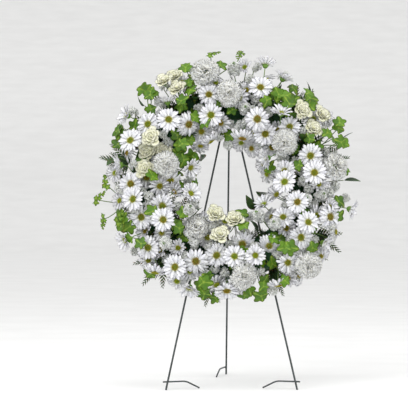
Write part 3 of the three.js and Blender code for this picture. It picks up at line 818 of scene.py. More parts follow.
def leaf_green(name, dark, light, vein, shine):
    """A living leaf: waxy skin over spongy green flesh, paler along its veins, no two alike."""
    made, tree, shader = surface(name, Roughness=shine, IOR=1.42, Subsurface_Weight=0.1, Subsurface_Scale=MM)
    place = node(tree, "ShaderNodeTexCoord").outputs["Object"]
    patch = node(tree, "ShaderNodeTexNoise", {"Vector": place, "Scale": 30.0, "Detail": 3.0})
    flesh = node(tree, "ShaderNodeValToRGB", {"Fac": patch.outputs["Fac"]}, [(0.35, dark), (0.65, light)])
    along = node(tree, "ShaderNodeAttribute", attribute_name="vein").outputs["Fac"]
    mixed = node(tree, "ShaderNodeMix", {0: along, 6: flesh.outputs["Color"], 7: linear(vein)},
                 data_type="RGBA")
    blister = node(tree, "ShaderNodeTexNoise", {"Vector": place, "Scale": 500.0, "Detail": 2.0})
    bump = node(tree, "ShaderNodeBump", {"Strength": 0.35, "Distance": 0.3 * MM,
                                         "Height": blister.outputs["Fac"]})
    tree.links.new(mixed.outputs[2], shader.inputs["Base Color"])
    tree.links.new(bump.outputs["Normal"], shader.inputs["Normal"])
    return made


STALK = leaf_green("green_flower_stalk", "#4c6b2a", "#6d8a3c", "#7f9a4c", 0.5)
FERN_GREEN = leaf_green("leatherleaf_fern", "#1f3a17", "#39592a", "#4f6f38", 0.45)
DARK_LEAF = leaf_green("dark_evergreen_leaf", "#1d3616", "#35561f", "#5b7a3a", 0.35)


def frond_tree():
    """A midrib along a mesh line, and pairs of an organ on both sides of it, smaller towards the tip."""
    tree, given = growing_tree(
        "frond", Organ=("Object", None), Pairs=("Int", 9), Length=("Float", 0.1), Start=("Float", 0.12),
        Droop=("Float", 0.01), Angle=("Float", 1.0), Taper=("Float", 0.7), Lift=("Float", 0.1),
        Seed=("Int", 1),
        Material=("Material", None))
    curve = node(tree, "GeometryNodeMeshToCurve", {"Mesh": given["Geometry"]})
    thick = node(tree, "GeometryNodeInputNamedAttribute", {"Name": "thickness"}, data_type="FLOAT")
    section = node(tree, "GeometryNodeCurvePrimitiveCircle", {"Resolution": 5, "Radius": 1.0})
    links = {"Curve": curve.outputs[0], "Profile Curve": section.outputs[0], "Scale": thick.outputs[0]}
    rib = node(tree, "GeometryNodeCurveToMesh", {**links, "Fill Caps": True})
    index = node(tree, "GeometryNodeInputIndex").outputs[0]
    side = node(tree, "ShaderNodeMath", {0: index, 1: 2.0}, operation="MODULO").outputs[0]
    sign = node(tree, "ShaderNodeMapRange", {"Value": side, "To Min": -1.0, "To Max": 1.0}).outputs[0]
    count = node(tree, "ShaderNodeMath", {0: given["Pairs"], 1: 2.0}, operation="MULTIPLY").outputs[0]
    share = node(tree, "ShaderNodeMath", {0: index, 1: count}, operation="DIVIDE").outputs[0]
    along = node(tree, "ShaderNodeMapRange", {"Value": share, "To Min": given["Start"],
                                              "To Max": 1.0}).outputs[0]
    forward = node(tree, "ShaderNodeMath", {0: along, 1: given["Length"]}, operation="MULTIPLY").outputs[0]
    square = node(tree, "ShaderNodeMath", {0: along, 1: along}, operation="MULTIPLY").outputs[0]
    fall = node(tree, "ShaderNodeMath", {0: square, 1: given["Droop"]}, operation="MULTIPLY").outputs[0]
    down = node(tree, "ShaderNodeMath", {0: fall, 1: -1.0}, operation="MULTIPLY").outputs[0]
    place = node(tree, "ShaderNodeCombineXYZ", {"X": forward, "Z": down}).outputs[0]
    points = node(tree, "GeometryNodePoints", {"Count": count, "Position": place})
    chance = node(tree, "FunctionNodeRandomValue", {2: -0.12, 3: 0.12, "Seed": given["Seed"]}).outputs[1]
    closing = node(tree, "ShaderNodeMapRange", {"Value": along, "To Min": given["Angle"],
                                                "To Max": 0.45}).outputs[0]
    wide = node(tree, "ShaderNodeMath", {0: closing, 1: chance}, operation="ADD").outputs[0]
    yaw = node(tree, "ShaderNodeMath", {0: wide, 1: sign}, operation="MULTIPLY").outputs[0]
    lift = node(tree, "ShaderNodeMath", {0: given["Lift"], 1: chance}, operation="ADD").outputs[0]
    euler = node(tree, "ShaderNodeCombineXYZ", {"Y": lift, "Z": yaw}).outputs[0]
    turn = node(tree, "FunctionNodeEulerToRotation", {0: euler}).outputs[0]
    left = node(tree, "ShaderNodeMath", {0: 1.0, 1: along}, operation="SUBTRACT").outputs[0]
    short = node(tree, "ShaderNodeMath", {0: left, 1: given["Taper"]}, operation="POWER").outputs[0]
    size = node(tree, "ShaderNodeMapRange", {"Value": short, "To Min": 0.2, "To Max": 1.0}).outputs[0]
    shape = node(tree, "GeometryNodeObjectInfo", {"Object": given["Organ"]}).outputs["Geometry"]
    links = {"Points": points.outputs[0], "Instance": shape, "Rotation": turn, "Scale": size}
    copies = node(tree, "GeometryNodeInstanceOnPoints", links)
    both = node(tree, "GeometryNodeJoinGeometry", {"Geometry": rib.outputs[0]})
    tree.links.new(copies.outputs[0], both.inputs[0])
    finish_tree(tree, both.outputs[0], given["Material"])
    return tree


FROND = frond_tree()


def midrib(name, length, droop, radius):
    """The line of a frond's midrib, drooping as its leaflets do."""
    route = [Vector((length * i / 6, 0, -droop * (i / 6) ** 2)) for i in range(7)]
    return lines(name, [(route, [radius * (1 - 0.75 * i / 6) for i in range(7)])])


def toothed(length, width, teeth, arch=0.1):
    """Upper side of a leaflet with so many teeth along both edges, narrowing to its tip."""
    def top(u, v):
        saw = 1 - 0.38 * (round(u * teeth * 2) % 2)
        half = width / 2 * (0.25 + 0.75 * math.sin(math.pi * min(1, u + 0.25) ** 0.9)) * saw
        slant = 0.12 * length * abs(v) * (1 - u)
        return (length * u + slant * (u < 1), v * half * (1 - 0.8 * u ** 4),
                -arch * length * u * u - 0.1 * width * v * v)
    return top


def leaflet(name, length, width, teeth, across=2):
    """Helper object of one toothed leaflet."""
    return organ(name, blade(name, teeth * 2, across, toothed(length, width, teeth)))


def frond(name, part, length, pairs, material, droop=0.0, seed=1, angle=1.1, taper=0.7, radius=0.6 * MM):
    """Helper object of one frond: a midrib with pairs of a leaflet."""
    made = grown(name, FROND, midrib(name, length, droop, radius), Organ=part, Pairs=pairs, Length=length,
                 Droop=droop, Seed=seed, Angle=angle, Taper=taper, Material=material)
    bpy.context.scene.collection.objects.unlink(made)
    HELPERS.objects.link(made)
    return made


def ovate(length, width, fold=0.25, curl=0.2):
    """Upper side of a plain pointed leaf, folded along its midrib and curling down at its tip."""
    def top(u, v):
        half = width / 2 * math.sin(math.pi * (0.04 + 0.94 * u ** 0.8)) + 0.2 * MM
        return length * u, v * half, fold * half * abs(v) - curl * length * u * u
    return top


pinna = leaflet("pinna", 34 * MM, 12 * MM, 5)
bed_pinna = leaflet("bed_pinna", 30 * MM, 12 * MM, 3)
FERN_FORMS = gathered(
    "fern_forms",
    frond("fern_long", pinna, 100 * MM, 9, FERN_GREEN, 16 * MM, 1),
    frond("fern_bent", pinna, 96 * MM, 9, FERN_GREEN, 30 * MM, 2, 1.0),
    frond("fern_short", pinna, 66 * MM, 7, FERN_GREEN, 9 * MM, 3, 1.15),
)
dark_leaf = blade("dark_leaf", 6, 4, ovate(52 * MM, 24 * MM))
dark_leaf.materials.append(DARK_LEAF)
narrow_leaf = blade("narrow_leaf", 6, 2, ovate(60 * MM, 13 * MM, 0.3, 0.3))
narrow_leaf.materials.append(DARK_LEAF)
BED_FORMS = gathered(
    "bed_forms", frond("bed_fern", bed_pinna, 58 * MM, 6, FERN_GREEN, 12 * MM, 4),
    organ("dark_leaf", dark_leaf),
    frond("bed_fern_open", bed_pinna, 50 * MM, 5, FERN_GREEN, 6 * MM, 5, 1.25),
    organ("narrow_leaf", narrow_leaf),
)

BED_COUNT = 330


# Steps that spread the tries evenly round the ring and across it.
HOUR_STEP, ACROSS_STEP = 0.61803, 0.75488


def bed():
    """Where each sprig of the bed stands, how it leans and which form it has."""
    chance = random.Random("bed")
    heads = []
    for number in range(BED_COUNT):
        hour = 12 * (number * HOUR_STEP % 1)
        across = chance.uniform(-1, 1)
        radius = BAND_MIDDLE + across * FOAM_HALF_WIDTH
        height = FOAM_FRONT - 3 * MM if abs(across) < 0.8 else chance.uniform(14 * MM, 46 * MM)
        lean = (outward(hour) * (1.5 * across + chance.uniform(-0.3, 0.3))
                + outward(hour + 3) * chance.uniform(-0.8, 0.8))
        growth = (FORWARD * (1.0 if abs(across) < 0.8 else 0.35) + lean).normalized()
        side = growth.cross(outward(hour + 3)).normalized()
        size = chance.uniform(0.75, 1.1) * (0.62 if across < -0.6 else 0.95)
        heads.append(dict(centre=on_ring(hour, radius, height), facing=growth, spin=chance.uniform(0, 6.28),
                          size=size, form=chance.choice([0, 0, 1, 2, 2, 3])))
    return heads


def lengthwise(collection):
    """Turns each form, which lies along X, to stand along Z, so that its facing is its growth."""
    for each in collection.objects:
        each.data.transform(Matrix.Rotation(-math.pi / 2, 4, "Y"))
    return collection


greenery_bed = grown("greenery_bed", SPRAY, planted("bed", [], bed()), Heads=lengthwise(BED_FORMS),
                     Material=STALK)
fitted(greenery_bed, "frame_and_wreath", "fern")


# ---- Fern fans ----
# Leatherleaf fern, cut in fans of three to five fronds. Their stems go into the sides of the foam,
# so that the tips stand out from under the flowers all round, and once into the hole.

FERNS = [(1.4, 355, 0), (2.6, 335, 1), (4.05, 350, 0), (5.15, 335, 1), (6.35, 335, 0), (7.35, 355, 1),
         (9.4, 352, 0), (7.9, 84, 1)]
FERN_HEIGHTS = [19 * MM, 28 * MM]
FERN_SPREADS = [-34, 0, 34, -17, 17]


def spin_to(growth, front):
    """Spin about a growth direction that turns a standing frond's upper side to the front."""
    stood = Vector((0, 0, 1)).rotation_difference(growth)
    one, two = stood @ Vector((-1, 0, 0)), stood @ Vector((0, -1, 0))
    return math.atan2(front.dot(two), front.dot(one))


def fern_fan(number, hour, reach, step):
    """One fan: the stem in the foam, and its fronds in front of the plane of the CAD fan's."""
    chance = random.Random(f"fern{number}")
    away = 1 if reach * MM > BAND_MIDDLE else -1
    height = FERN_HEIGHTS[step]
    start = BAND_MIDDLE + away * (FOAM_HALF_WIDTH + 8 * MM)
    length = abs(reach * MM - start)
    stalks, heads = [([on_ring(hour, start - away * 22 * MM, height), on_ring(hour, start, height)],
                      1.6 * MM)], []
    for i, spread in enumerate(FERN_SPREADS if away > 0 else FERN_SPREADS[:3]):
        turn = math.radians(spread + chance.uniform(-4, 4))
        out, aside = outward(hour) * away, outward(hour + 3) * away
        growth = out * math.cos(turn) + aside * math.sin(turn) + FORWARD * (0.06 if i < 3 else 0.3)
        share = 1 if i == 1 else 0.88 if i < 3 else 0.7
        growth.normalize()
        heads.append(dict(centre=on_ring(hour, start, height), facing=growth, form=i % 2,
                          spin=spin_to(growth, FORWARD), size=share * length / (104 * MM)))
    piece = grown(f"ferns_{number + 1:02d}", SPRAY, planted("fan", stalks, heads), Heads=FERN_UPRIGHT,
                  Material=STALK)
    fitted(piece, "frame_and_wreath", "fern", f"fern_fan_{number + 1:02d}")


FERN_UPRIGHT = lengthwise(FERN_FORMS)
for number, (hour, reach, step) in enumerate(FERNS):
    fern_fan(number, hour, reach, step)


# ---- Ivy leaves ----
# Bright green lobed leaves on their own stalks, some among the flowers and some on trails that stand
# out past the rim.

LEAF_RADIUS = 26 * MM
LOBES = [(0, 1.0), (66, 0.9), (-66, 0.9), (132, 0.68), (-132, 0.68)]
LEAF_POINTS = 36


def lobed(name, cup, droop, rings=4, thickness=0.35 * MM):
    """A closed five-lobed leaf with its tip towards X, with its veins marked for its material."""
    points, faces, veins = [], [], []
    for side in (0, 1):
        points.append(Vector((0, 0, -thickness * side)))
        veins.append(1)
        for ring_number in range(1, rings + 1 - side):
            for k in range(LEAF_POINTS):
                degrees = 360 * k / LEAF_POINTS
                apart = [(abs((degrees - lobe + 180) % 360 - 180), reach) for lobe, reach in LOBES]
                edge = max([0.5] + [reach * (1 - 0.42 * (away / 34) ** 1.4)
                                    for away, reach in apart if away < 40])
                share = ring_number / rings
                x, y = (LEAF_RADIUS * edge * share * f(math.radians(degrees)) for f in (math.cos, math.sin))
                ripple = 0.05 * LEAF_RADIUS * share * share * math.cos(math.radians(degrees * 5))
                height = cup * (x * x + y * y) / LEAF_RADIUS - droop * max(0, x) ** 2 / LEAF_RADIUS - ripple
                points.append(Vector((x, y, height - thickness * side)))
                veins.append(1 if min(away for away, reach in apart) < 4 else 0)
    start = 1 + rings * LEAF_POINTS
    rows = {0: [0, 1, False], 1: [start, start + 1, True]}
    for side, (centre, first, under) in rows.items():
        for k in range(LEAF_POINTS):
            n = (k + 1) % LEAF_POINTS
            ring_faces = [(centre, first + k, first + n)]
            for r in range(rings - 1):
                inner = first + r * LEAF_POINTS
                outer = (inner + LEAF_POINTS if not (under and r == rings - 2)
                         else 1 + (rings - 1) * LEAF_POINTS)
                ring_faces.append((inner + k, outer + k, outer + n, inner + n))
            faces += [tuple(reversed(face)) for face in ring_faces] if under else ring_faces
    mesh = bpy.data.meshes.new(name)
    mesh.from_pydata(points, [], faces, shade_flat=False)
    mesh.attributes.new("vein", "FLOAT", "POINT").data.foreach_set("value", veins)
    return mesh


IVY = leaf_green("bright_ivy_leaf", "#3d640a", "#5a820f", "#88a234", 0.5)
leaf_forms, leaf_forms_kept = [], []
for label, cup, droop in (("level", 0.05, 0.1), ("cupped", 0.3, 0.15), ("drooping", -0.15, 0.4)):
    leaf = lobed("ivy_" + label, cup, droop)
    leaf.materials.append(IVY)
    leaf_forms.append(organ("ivy_" + label, leaf))
    leaf_forms_kept.append(leaf)
SMALL_LEAF = 0.42
small_leaf = lobed("small_ivy", 0.1, 0.2, 2)
small_leaf.transform(Matrix.Translation((0.2 * LEAF_RADIUS, 0, 0)) @ Matrix.Scale(SMALL_LEAF, 4))
small_leaf.materials.append(IVY)
TRAIL = frond("ivy_trail", organ("small_ivy", small_leaf), 44 * MM, 3, IVY, 9 * MM, 6, 1.0, 0.5, 0.8 * MM)
TRAIL.data.transform(Matrix.Translation((-14 * MM, 0, 4 * MM)))
IVY_FORMS = gathered("ivy_forms", *leaf_forms, TRAIL)
TRAILS = (1, 2)
for number in range(len(PLAN["leaf_spray"][2])):
    spray(f"ivy_{number + 1:02d}", "leaf_spray", number, IVY_FORMS, -0.01, "ivy_leaf", 1.08,
          3 * (number in TRAILS))


# ---- Daisies ----
# Daisy spray chrysanthemums: two rows of long white ray petals round a disc of green florets that
# turn gold as they ripen, on a green cup. Three to five heads stand on each branched stem.

DAISY_PETALS = 24
DAISY_DIVERGENCE = 2 * math.pi * 8 / 21


def ray_petal(name, curl, dish, length=25 * MM, width=8.4 * MM):
    """A strap-shaped petal with a rounded, faintly notched tip and two long grooves."""
    def top(u, v):
        half = width / 2 * (0.42 + 0.58 * math.sin(math.pi * (0.06 + 0.66 * u)))
        tip = 1 - 0.13 * v * v * u ** 4 + 0.03 * math.cos(3 * math.pi * v) * u ** 6
        groove = 0.35 * MM * math.cos(2 * math.pi * v) * (1 - u * 0.4)
        return (length * u * tip, v * half,
                dish * (v * v - 0.3) - curl * u * u + groove + 1.2 * MM * math.sin(math.pi * u))
    return organ(name, blade(name, 6, 4, top, 0.35 * MM))


def floret_bead(name, radius, height):
    """A disc floret: a small bud with eight faces."""
    ring_points = [(radius, 0, 0), (0, radius, 0), (-radius, 0, 0), (0, -radius, 0)]
    mesh = bpy.data.meshes.new(name)
    faces = [(i, (i + 1) % 4, 4) for i in range(4)] + [((i + 1) % 4, i, 5) for i in range(4)]
    mesh.from_pydata(ring_points + [(0, 0, height), (0, 0, -height)], [], faces, shade_flat=False)
    return organ(name, mesh)


def turned(name, profile, columns=12):
    """Closed body turned about Z from (radius, height) points that start and end on the axis."""
    points, faces = [Vector((0, 0, profile[0][1])), Vector((0, 0, profile[-1][1]))], []
    for radius, height in profile[1:-1]:
        for k in range(columns):
            turn = 2 * math.pi * k / columns
            points.append(Vector((radius * math.cos(turn), radius * math.sin(turn), height)))
    rows = len(profile) - 2
    for k in range(columns):
        n = (k + 1) % columns
        faces.append((0, 2 + n, 2 + k))
        for r in range(rows - 1):
            low = 2 + r * columns
            faces.append((low + k, low + n, low + columns + n, low + columns + k))
        last = 2 + (rows - 1) * columns
        faces.append((1, last + k, last + n))
    mesh = bpy.data.meshes.new(name)
    mesh.from_pydata(points, [], faces, shade_flat=False)
    return mesh


def white_petal(name, body, shade, base, roughness=0.55, glow=0.2):
    """A petal: thin, matt and faintly translucent, cool white with patches of painted shade, finely grooved and
    tinged at its base.
    """
    made, tree, shader = surface(name, Roughness=roughness, IOR=1.38, Subsurface_Weight=glow,
                                 Subsurface_Scale=5 * MM, Sheen_Weight=0.1)
    shader.inputs["Subsurface Radius"].default_value = (1.0, 0.9, 0.7)
    spot = node(tree, "ShaderNodeAttribute", attribute_name="blade").outputs["Vector"]
    parts = node(tree, "ShaderNodeSeparateXYZ", {"Vector": spot})
    place = node(tree, "ShaderNodeTexCoord").outputs["Object"]
    cloud = node(tree, "ShaderNodeTexNoise", {"Vector": place, "Scale": 90.0, "Detail": 2.0})
    # Painted shade: the noise mixes the body colour with the shade colour, a greyer tone that stands in for the
    # shading among the petals.
    white = node(tree, "ShaderNodeValToRGB", {"Fac": cloud.outputs["Fac"]}, [(0.35, shade), (0.6, body)])
    foot = node(tree, "ShaderNodeValToRGB", {"Fac": parts.outputs["Y"]},
                [(0.02, "#ffffff"), (0.3, "#000000")])
    mixed = node(tree, "ShaderNodeMix", {0: foot.outputs["Color"], 6: white.outputs["Color"],
                                         7: linear(base)},
                 data_type="RGBA")
    # About twenty fine veins run along a petal, drawn as eight, so that they show.
    stretched = node(tree, "ShaderNodeMapping", {"Vector": spot, "Scale": (8.0, 0.4, 1.0)})
    veins = node(tree, "ShaderNodeTexWave", {"Vector": stretched.outputs[0], "Scale": 0.32,
                                             "Distortion": 0.6})
    bump = node(tree, "ShaderNodeBump", {"Strength": 0.5, "Distance": 0.4 * MM,
                                         "Height": veins.outputs["Fac"]})
    tree.links.new(mixed.outputs[2], shader.inputs["Base Color"])
    tree.links.new(bump.outputs["Normal"], shader.inputs["Normal"])
    return made


def disc_of_florets():
    """Packed tube florets: waxy green buds in the middle, opening to gold and brown towards the rim."""
    made, tree, shader = surface("chrysanthemum_disc_florets", Roughness=0.6, IOR=1.4)
    whorl = node(tree, "ShaderNodeAttribute", attribute_name="whorl").outputs["Fac"]
    ripe = node(tree, "ShaderNodeAttribute", attribute_name="ripe").outputs["Fac"]
    green = node(tree, "ShaderNodeValToRGB", {"Fac": whorl},
                 [(0.1, "#7f9a18"), (0.55, "#a9b322"), (0.95, "#c9c63c")])
    gold = node(tree, "ShaderNodeValToRGB", {"Fac": whorl},
                [(0.1, "#8a7414"), (0.5, "#a5801c"), (0.95, "#c59a26")])
    mixed = node(tree, "ShaderNodeMix", {0: ripe, 6: green.outputs["Color"], 7: gold.outputs["Color"]},
                 data_type="RGBA")
    tree.links.new(mixed.outputs[2], shader.inputs["Base Color"])
    return made


# Body colour, painted shade colour and base tint of the daisy petals.
DAISY_WHITE = white_petal("white_chrysanthemum_petal", "#f6f6f8", "#e9e9f0", "#dbe3b6")
DISC = disc_of_florets()
CALYX = leaf_green("green_flower_cup", "#4a6d24", "#6b8f38", "#88a452", 0.55)
bead = floret_bead("disc_floret", 0.95 * MM, 1.3 * MM)
petals = {"straight": ray_petal("straight_petal", 2 * MM, 1.1 * MM),
          "hung": ray_petal("hung_petal", 9 * MM, 1.6 * MM),
          "short": ray_petal("short_petal", 1 * MM, 1.8 * MM, 18 * MM, 7 * MM)}


# The turn from one petal or floret to the next, as plants space them.
GOLDEN_ANGLE = 2.39996


def daisy_head(name, petal, tilt_in, tilt_out, seed, disc=9 * MM, jitter=0.09, size=1.0):
    """One form of head: cup, disc and petals."""
    cup = turned(name, [(0, -9.5 * MM), (2 * MM, -9 * MM), (5.5 * MM, -7 * MM), (8.4 * MM, -2 * MM),
                        (8 * MM, 0),
                        (0, 1 * MM)])
    cup.materials.append(CALYX)
    domed = grown(name + "_disc", WHORL, cup, Organ=bead, Count=85, Divergence=GOLDEN_ANGLE, Spread=0.5,
                  RadiusOut=disc, RiseIn=3.6 * MM, RiseOut=1.2 * MM, Jitter=0.25, Seed=seed, Material=DISC)
    rays = dict(Count=DAISY_PETALS, Divergence=DAISY_DIVERGENCE, RadiusIn=6.5 * MM, RadiusOut=7.5 * MM,
                RiseIn=1.2 * MM, RiseOut=-0.8 * MM, TiltIn=math.radians(tilt_in),
                TiltOut=math.radians(tilt_out),
                SizeIn=0.94 * size, SizeOut=1.02 * size, Jitter=jitter, Seed=seed)
    whole = grown(name, WHORL, domed.data, Organ=petals[petal], Material=DAISY_WHITE, **rays)
    bpy.data.objects.remove(domed)
    return whole


DAISY_FORMS = gathered(
    "daisy_forms",
    daisy_head("flat_daisy", "straight", 16, 4, 3),
    daisy_head("cupped_daisy", "straight", 48, 26, 5, 7.5 * MM),
    daisy_head("nodding_daisy", "hung", 4, -14, 7, 9.5 * MM, 0.12),
    daisy_head("opening_daisy", "short", 72, 50, 9, 6 * MM),
    daisy_head("aged_daisy", "hung", 14, 0, 11, 10 * MM, 0.14),
)
for number in range(len(PLAN["daisy_spray"][2])):
    spray(f"daisies_{number + 1:02d}", "daisy_spray", number, DAISY_FORMS, -0.27, "daisy", 1.04)


# ---- Carnations ----
# White carnations, one to a stem: some forty fan-shaped petals with pinked, ruffled edges, crowded
# into a ball over a long green calyx.

def fan_petal(name, phase, length=31 * MM, spread=0.62):
    """A petal that widens from a narrow claw to a ruffled edge cut in teeth."""
    def top(u, v):
        turn = spread * v * (0.35 + 0.65 * u)
        reach = length * u * (1 - 0.09 * (round((v + 1) * 6) % 2) * (u > 0.99))
        ruffle = (2.6 * MM * u ** 2.5 * math.sin(4.5 * v + phase)
                  + 0.9 * MM * u ** 4 * math.sin(12 * v + phase))
        return reach * math.cos(turn), reach * math.sin(turn) + 0.5 * MM * v, ruffle - 5 * MM * u ** 3
    return organ(name, blade(name, 4, 12, top, 0.35 * MM))


def carnation_head(name, phase, seed, count=44):
    """Calyx and petals, from the upright heart to the level outer petals."""
    calyx = turned(name, [(0, -31 * MM), (3 * MM, -30 * MM), (6 * MM, -24 * MM), (7 * MM, -12 * MM),
                          (9 * MM, -8 * MM),
                          (0, -7 * MM)])
    calyx.materials.append(CALYX)
    return grown(name, WHORL, calyx, Organ=fan_petal(name + "_petal", phase), Count=count, Divergence=GOLDEN_ANGLE,
                 Spread=0.6, RadiusIn=0.5 * MM, RadiusOut=5 * MM, RiseIn=-5 * MM, RiseOut=-12 * MM,
                 TiltIn=math.radians(84), TiltOut=math.radians(2), SizeIn=0.8, SizeOut=1.1, Jitter=0.16,
                 Seed=seed,
                 Material=CARNATION_WHITE)


# Body colour, painted shade colour and base tint of the carnation petals.
CARNATION_WHITE = white_petal("white_carnation_petal", "#f8f8f4", "#f1f1ea", "#ecefd8", 0.65, 0.5)
CARNATION_FORMS = gathered("carnation_forms", carnation_head("carnation_full", 0.4, 21),
                           carnation_head("carnation_loose", 2.1, 22, 28))
for number in range(len(PLAN["carnation"][2])):
    spray(f"carnation_bloom_{number + 1:02d}", "carnation", number, CARNATION_FORMS, -0.85, "carnation", 1.05)


# ---- Spray roses ----
# Small cream roses, three or four to a stem. Broad petals wrap a tight greenish heart and roll back
# at their edges as the outer ones open.

def rose_petal(name, roll, length=23 * MM, width=23 * MM):
    """A broad petal, cupped round the heart, its edge rolled back."""
    def top(u, v):
        half = width / 2 * (0.3 + 0.7 * math.sin(math.pi * (0.1 + 0.52 * u)))
        wrap = 0.95 * v
        edge = length * (u - 0.12 * v * v * u * u)
        return (edge, half * math.sin(wrap),
                half * (1 - math.cos(wrap)) - roll * max(0, u - 0.55) ** 2 * 22 * MM)
    return organ(name, blade(name, 6, 6, top, 0.4 * MM))


def rose_head(name, seed, tilt_out, count=24):
    """Hip, heart and petals."""
    hip = turned(name, [(0, -20 * MM), (2.5 * MM, -19 * MM), (4.5 * MM, -16 * MM), (4 * MM, -12 * MM),
                        (0, -11 * MM)])
    hip.materials.append(CALYX)
    return grown(name, WHORL, hip, Organ=ROSE_PETAL, Count=count, Divergence=GOLDEN_ANGLE, Spread=0.8,
                 RadiusIn=0.8 * MM, RadiusOut=7 * MM, RiseIn=-9 * MM, RiseOut=-14 * MM,
                 TiltIn=math.radians(89),
                 TiltOut=math.radians(tilt_out), SizeIn=0.62, SizeOut=1.08, Jitter=0.08, Seed=seed,
                 Material=ROSE_CREAM)


# Body colour, painted shade colour and base tint of the rose petals.
ROSE_CREAM = white_petal("cream_rose_petal", "#f1efd6", "#e6e6be", "#c5d08c", 0.5, 0.35)
ROSE_PETAL = rose_petal("rose_petal", 1.3)
ROSE_FORMS = gathered("rose_forms", rose_head("rose_half_open", 31, 46), rose_head("rose_open", 32, 30, 27))
for number in range(len(PLAN["rose_spray"][2])):
    spray(f"roses_{number + 1:02d}", "rose_spray", number, ROSE_FORMS, -0.75, "rose", 1.08)


# ---- Stock ----
# White double stock: a thick green spike crowded with ruffled florets of about ten petals each, the
# top ones still in green bud.

def stock_floret(name, seed):
    """A double floret of crumpled petals."""
    def top(u, v):
        half = 5.5 * MM * math.sin(math.pi * (0.12 + 0.55 * u))
        crumple = 1.1 * MM * u * math.sin(5 * v + 2 * u)
        return 13 * MM * u * (1 - 0.15 * v * v), v * half, crumple - 2.5 * MM * u * u
    petal = organ(name + "_petal", blade(name + "_petal", 3, 4, top, 0.3 * MM))
    made = grown(name, WHORL, None, Organ=petal, Count=11, Divergence=GOLDEN_ANGLE, Spread=0.7, RadiusOut=2 * MM,
                 RiseIn=2 * MM, TiltIn=math.radians(75), TiltOut=math.radians(8), SizeIn=0.7, SizeOut=1.05,
                 Jitter=0.25, Seed=seed, Material=STOCK_WHITE)
    made.data.transform(Matrix.Rotation(math.pi / 2, 4, "Y"))
    bpy.context.scene.collection.objects.unlink(made)
    HELPERS.objects.link(made)
    return made


def stock_head(name, seed, count=13):
    """A spike of florets over its stalk, with a few buds on top."""
    spike = turned(name, [(0, -14 * MM), (2.2 * MM, -13 * MM), (2 * MM, 12 * MM), (0, 24 * MM)], 8)
    spike.materials.append(STALK)
    florets = grown(name + "_florets", WHORL, spike, Organ=STOCK_FLORET, Count=count, Divergence=GOLDEN_ANGLE,
                    Spread=0.6,
                    RadiusIn=3 * MM, RadiusOut=9 * MM, RiseIn=16 * MM, RiseOut=-8 * MM,
                    TiltIn=math.radians(78),
                    TiltOut=math.radians(5), SizeIn=0.75, SizeOut=1.15, Jitter=0.2, Seed=seed,
                    Material=STOCK_WHITE)
    whole = grown(name, WHORL, florets.data, Organ=STOCK_BUD, Count=5, Divergence=GOLDEN_ANGLE, RadiusIn=1 * MM,
                  RadiusOut=5 * MM, RiseIn=24 * MM, RiseOut=18 * MM, Jitter=0.3, Seed=seed, Material=CALYX)
    bpy.data.objects.remove(florets)
    return whole


# Body colour, painted shade colour and base tint of the stock petals.
STOCK_WHITE = white_petal("white_stock_petal", "#f7f8f5", "#ecefe6", "#dfe7bf", 0.6, 0.35)
STOCK_FLORET = stock_floret("stock_floret", 41)
STOCK_BUD = floret_bead("stock_bud", 2.2 * MM, 4 * MM)
STOCK_CLUSTER = grown("stock_cluster", WHORL, None, Organ=STOCK_FLORET, Count=4, Divergence=GOLDEN_ANGLE,
                      RadiusIn=2 * MM,
                      RadiusOut=10 * MM, RiseIn=4 * MM, RiseOut=-3 * MM, TiltIn=math.radians(70),
                      TiltOut=math.radians(25), Jitter=0.3, Seed=44, Material=STOCK_WHITE)
STOCK_FORMS = gathered("stock_forms", stock_head("stock_full", 42), stock_head("stock_slim", 43, 10))
for number in range(len(PLAN["stock"][2])):
    spray(f"stock_spikes_{number + 1:02d}", "stock", number, STOCK_FORMS, -0.4, "stock")


# ---- Filling in ----
# What the florist tucks in last: single ivy leaves where the plan wants green, and a lower layer of
# small white heads, stock florets and leaves that closes the gaps between the larger flowers.

TUCKED_LEAVES = [
    (10.6, 331), (10.6, 296), (11.3, 298), (11.25, 268), (11.2, 241), (10.9, 225), (11.0, 178), (11.2, 156),
    (10.1, 153), (10.0, 102), (8.6, 89), (7.6, 166), (7.4, 192), (8.1, 218), (8.9, 198), (8.25, 294),
    (7.9, 295),
    (7.7, 280), (7.3, 341), (6.4, 268), (5.5, 149), (5.35, 109), (4.9, 203), (4.8, 236), (4.4, 283),
    (5.45, 295),
    (5.1, 298), (2.6, 110), (2.1, 318), (2.45, 292), (2.2, 279), (1.05, 245), (1.45, 292), (1.6, 280),
    (1.2, 255), (1.35, 237), (9.8, 311), (2.75, 183), (0.9, 216), (2.2, 229),
]
LEAF, SMALL_DAISY, FLORETS, DARK = range(4)
FILLER_RADIUS = {LEAF: 21 * MM, SMALL_DAISY: 24 * MM, FLORETS: 17 * MM, DARK: 22 * MM}
FILLER_TRIES = 1500


